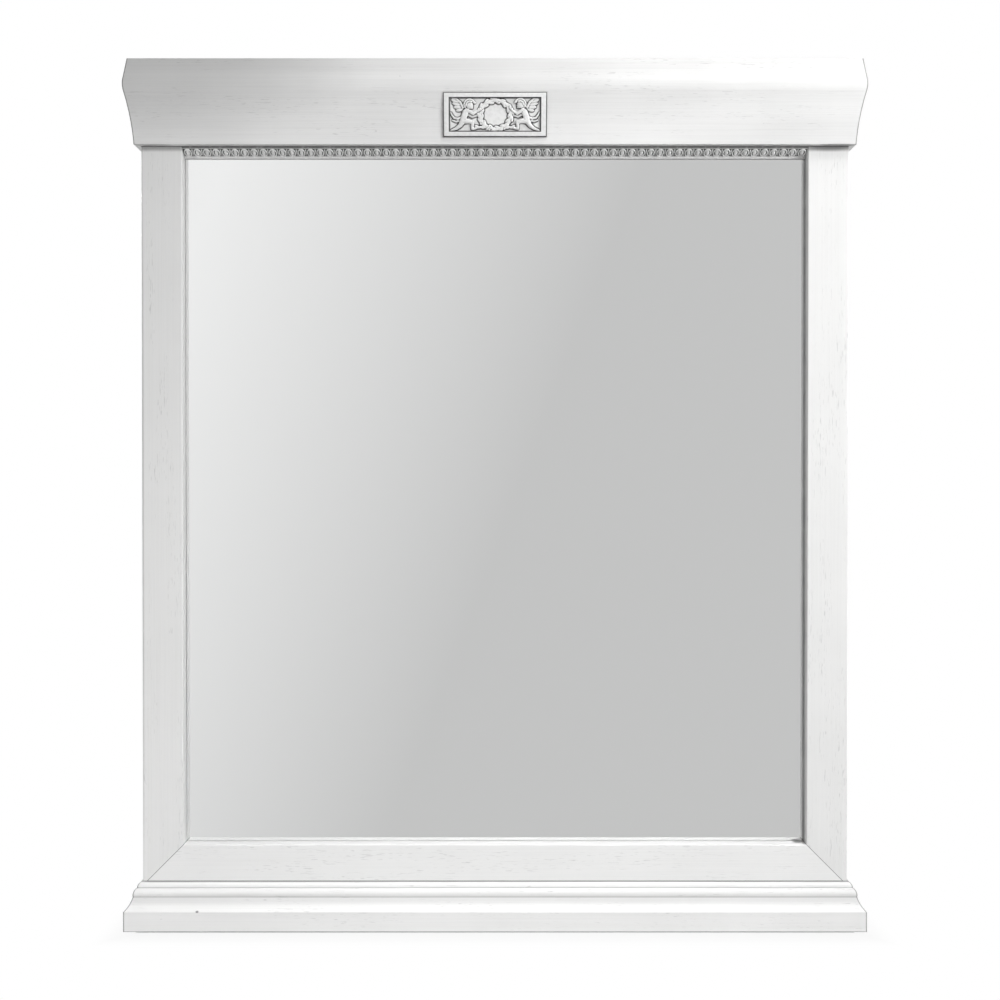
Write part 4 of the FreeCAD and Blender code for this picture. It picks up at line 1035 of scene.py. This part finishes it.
def heads_at_back(node, columns, rows, head_radius, length):
    """Places of the heads of a group of screws that are driven in from the back."""
    head_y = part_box(node)[0].y + length
    return [Vector((x, head_y, z)) for x in spread(node, columns, head_radius)
            for z in spread(node, rows, head_radius, axis=2)]


def heads_on_buttons(head_radius, length):
    """A place at the pivot of each turn button."""
    low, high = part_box("turn_button_screws")
    heads = []
    for name in BUTTON_NAMES:
        first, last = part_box(name)
        middle = (first + last) / 2
        axis = 0 if last.x - first.x > last.z - first.z else 2
        nearer_low = middle[axis] < (low[axis] + high[axis]) / 2
        middle[axis] = low[axis] + head_radius if nearer_low else high[axis] - head_radius
        heads.append(Vector((middle.x, low.y + length, middle.z)))
    return heads


screw_plating = plated_steel("screw_plating", (0.62, 0.60, 0.54, 1), (0.50, 0.48, 0.43, 1), "Y")
FORWARD = (0, -1, 0)
UPWARD = (0, 0, 1)
# Screws: a shank radius, a head radius and a head height
WOOD_SCREW = (2.2 * MM, 4.2 * MM, 2.6 * MM)
CROWN_SCREW_LENGTH = 35 * MM
PLINTH_SCREW_LENGTH = 44 * MM
HANGER_SCREW_LENGTH = 15 * MM
HANGER_SCREW = (1.6 * MM, 3.2 * MM, 1.8 * MM)
BUTTON_SCREW_LENGTH = 17.5 * MM
BUTTON_SCREW = (2.0 * MM, 3.8 * MM, 1.6 * MM)

make_screws("crown_wood_screws", "crown_screws", make_screw(CROWN_SCREW_LENGTH, *WOOD_SCREW),
            heads_at_back("crown_screws", 5, 2, WOOD_SCREW[1], CROWN_SCREW_LENGTH), FORWARD)
plinth_low, plinth_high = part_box("plinth_screws")
make_screws("plinth_wood_screws", "plinth_screws", make_screw(PLINTH_SCREW_LENGTH, *WOOD_SCREW),
            [Vector((x, (plinth_low.y + plinth_high.y) / 2, plinth_high.z - PLINTH_SCREW_LENGTH))
             for x in spread("plinth_screws", 4, WOOD_SCREW[1])], UPWARD)
make_screws("hanger_plate_screws", "hanger_screws", make_screw(HANGER_SCREW_LENGTH, *HANGER_SCREW),
            heads_at_back("hanger_screws", 2, 2, HANGER_SCREW[1], HANGER_SCREW_LENGTH), FORWARD)
make_screws("button_pivot_screws", "turn_button_screws", make_screw(BUTTON_SCREW_LENGTH, *BUTTON_SCREW),
            heads_on_buttons(BUTTON_SCREW[1], BUTTON_SCREW_LENGTH), FORWARD)


# Floor, light and camera

VIEW_DISTANCE = 1.610
VIEW_HEIGHT = 0.5919
VIEW_PITCH = math.radians(0.5)
FOCAL_LENGTH = 42.9
SENSOR_WIDTH = 36.0
SIDE_SHIFT = 0.005
FLOOR_HALF = 6.0
STUDIO_WHITE = 1.0
FLOOR_CONTACT = 0.005
FLOOR_FADE = 0.055
FLOOR_NEAR_WHITE = 0.88
FLOOR_GREY = 0.45


def light_path(tree, *kinds):
    """One for rays of any of the given kinds."""
    path = add_node(tree, "ShaderNodeLightPath")
    answer = path.outputs[kinds[0]]
    for kind in kinds[1:]:
        answer = math_node(tree, "MAXIMUM", answer, path.outputs[kind])
    return answer


def make_floor():
    clear_selection()
    bpy.ops.mesh.primitive_grid_add(x_subdivisions=8, y_subdivisions=8, size=2 * FLOOR_HALF,
                                    location=(0, face_y, 0))
    floor = settle(bpy.context.object)
    floor.name = "studio_floor"
    material = bpy.data.materials.new("studio_floor")
    material.use_nodes = True
    tree = material.node_tree
    tree.nodes.clear()
    matt = add_node(tree, "ShaderNodeBsdfDiffuse", {"Color": grey(FLOOR_GREY)})
    white = add_node(tree, "ShaderNodeEmission", {"Color": grey(STUDIO_WHITE), "Strength": 1.0})
    clear = add_node(tree, "ShaderNodeBsdfTransparent")
    parts = split(tree, add_node(tree, "ShaderNodeTexCoord").outputs["Object"])
    beside = minus(tree, either_side(tree, parts[0]), frame_half)
    before = minus(tree, either_side(tree, parts[1]), abs(cad_low.y))
    away = math_node(tree, "MAXIMUM", beside, before)
    white_share = map_range(tree, away, 0.0, FLOOR_CONTACT, 0.0, FLOOR_NEAR_WHITE)
    white_share = math_node(tree, "ADD", white_share, map_range(
        tree, away, FLOOR_CONTACT, FLOOR_FADE, 0.0, 1.0 - FLOOR_NEAR_WHITE))
    seen = product(tree, light_path(tree, "Is Camera Ray"), white_share)
    surface = add_node(tree, "ShaderNodeMixShader", {0: seen, 1: matt.outputs[0], 2: white.outputs[0]})
    mirrored = light_path(tree, "Is Glossy Ray", "Is Transmission Ray")
    surface = add_node(tree, "ShaderNodeMixShader", {0: mirrored, 1: surface.outputs[0], 2: clear.outputs[0]})
    output = add_node(tree, "ShaderNodeOutputMaterial")
    tree.links.new(surface.outputs[0], output.inputs["Surface"])
    floor.data.materials.append(material)


# What the mirror shows: a plain wall that is lighter to the left
WALL_LIGHT = 0.93
WALL_PLAIN = 0.60
WALL_LIGHT_PLACE = -0.33
WALL_PLAIN_PLACE = 0.02
WALL_RISE_SHARE = 0.38
LEAST_AHEAD = 0.05
AMBIENT = 0.31


def mix_value(tree, factor, first, second):
    return add_node(tree, "ShaderNodeMix", {0: factor, 2: first, 3: second}, data_type="FLOAT").outputs[0]


def make_world():
    world = bpy.data.worlds.new("studio")
    bpy.context.scene.world = world
    world.use_nodes = True
    tree = world.node_tree
    tree.nodes.clear()
    parts = split(tree, add_node(tree, "ShaderNodeTexCoord").outputs["Generated"])
    ahead = math_node(tree, "MAXIMUM", either_side(tree, parts[1]), LEAST_AHEAD)
    side = math_node(tree, "DIVIDE", parts[0], ahead)
    rise = math_node(tree, "DIVIDE", parts[2], ahead)
    place = minus(tree, side, product(tree, rise, WALL_RISE_SHARE))
    wall = map_range(tree, place, WALL_LIGHT_PLACE, WALL_PLAIN_PLACE, WALL_LIGHT, WALL_PLAIN, smooth=False)
    mirrored = light_path(tree, "Is Glossy Ray", "Is Transmission Ray")
    seen = light_path(tree, "Is Camera Ray")
    strength = mix_value(tree, mirrored, AMBIENT, wall)
    strength = mix_value(tree, seen, strength, STUDIO_WHITE)
    background = add_node(tree, "ShaderNodeBackground", {"Color": grey(1.0), "Strength": strength})
    output = add_node(tree, "ShaderNodeOutputWorld")
    tree.links.new(background.outputs[0], output.inputs["Surface"])


def make_softbox(name, place, target, power, size=(1.2, 1.2), spread=180, sheen=False, in_mirror=False):
    """A soft rectangular lamp that points at the target and spreads its light over an angle in degrees.

    Only with sheen does it shine on the lacquer, and only with in_mirror does the mirror pass it on."""
    lamp = bpy.data.lights.new(name, "AREA")
    lamp.shape = "RECTANGLE"
    lamp.size, lamp.size_y = size
    lamp.energy = power
    lamp.spread = math.radians(spread)
    holder = bpy.data.objects.new(name, lamp)
    bpy.context.scene.collection.objects.link(holder)
    holder.visible_glossy = sheen
    holder.visible_transmission = in_mirror
    holder.location = place
    holder.rotation_euler = (Vector(target) - Vector(place)).to_track_quat("-Z", "Y").to_euler()


def make_camera():
    camera = bpy.data.objects.new("camera", bpy.data.cameras.new("camera"))
    bpy.context.scene.collection.objects.link(camera)
    camera.location = (0, face_y - VIEW_DISTANCE, VIEW_HEIGHT)
    camera.rotation_euler = (math.pi / 2 - VIEW_PITCH, 0, 0)
    camera.data.sensor_width = SENSOR_WIDTH
    camera.data.lens = FOCAL_LENGTH
    camera.data.shift_x = SIDE_SHIFT
    bpy.context.scene.camera = camera


make_floor()
make_world()
make_softbox("high_softbox", (1.8, -1.6, 1.9), (0.1, 0, 0.6), power=28.5, in_mirror=True)
make_softbox("side_softbox", (2.2, -1.6, 0.9), (0.1, 0, 0.6), power=24.5)
make_softbox("ledge_softbox", (0.45, -0.75, 2.4), (0, 0, 0.08), power=1.6, size=(1.0, 0.5), spread=38,
             sheen=True, in_mirror=True)
make_softbox("low_fill", (-1.2, -1.0, 0.2), (-0.4, 0, 0.1), power=4.2, size=(0.8, 0.5))
make_softbox("rear_softbox_left", (-2.6, 2.0, 1.7), (0.1, 0, 0.6), power=48.0, sheen=True, in_mirror=True)
make_softbox("rear_softbox_right", (2.6, 2.0, 1.2), (-0.1, 0, 0.6), power=30.0, sheen=True, in_mirror=True)
make_camera()
bpy.context.scene.view_settings.view_transform = "Standard"
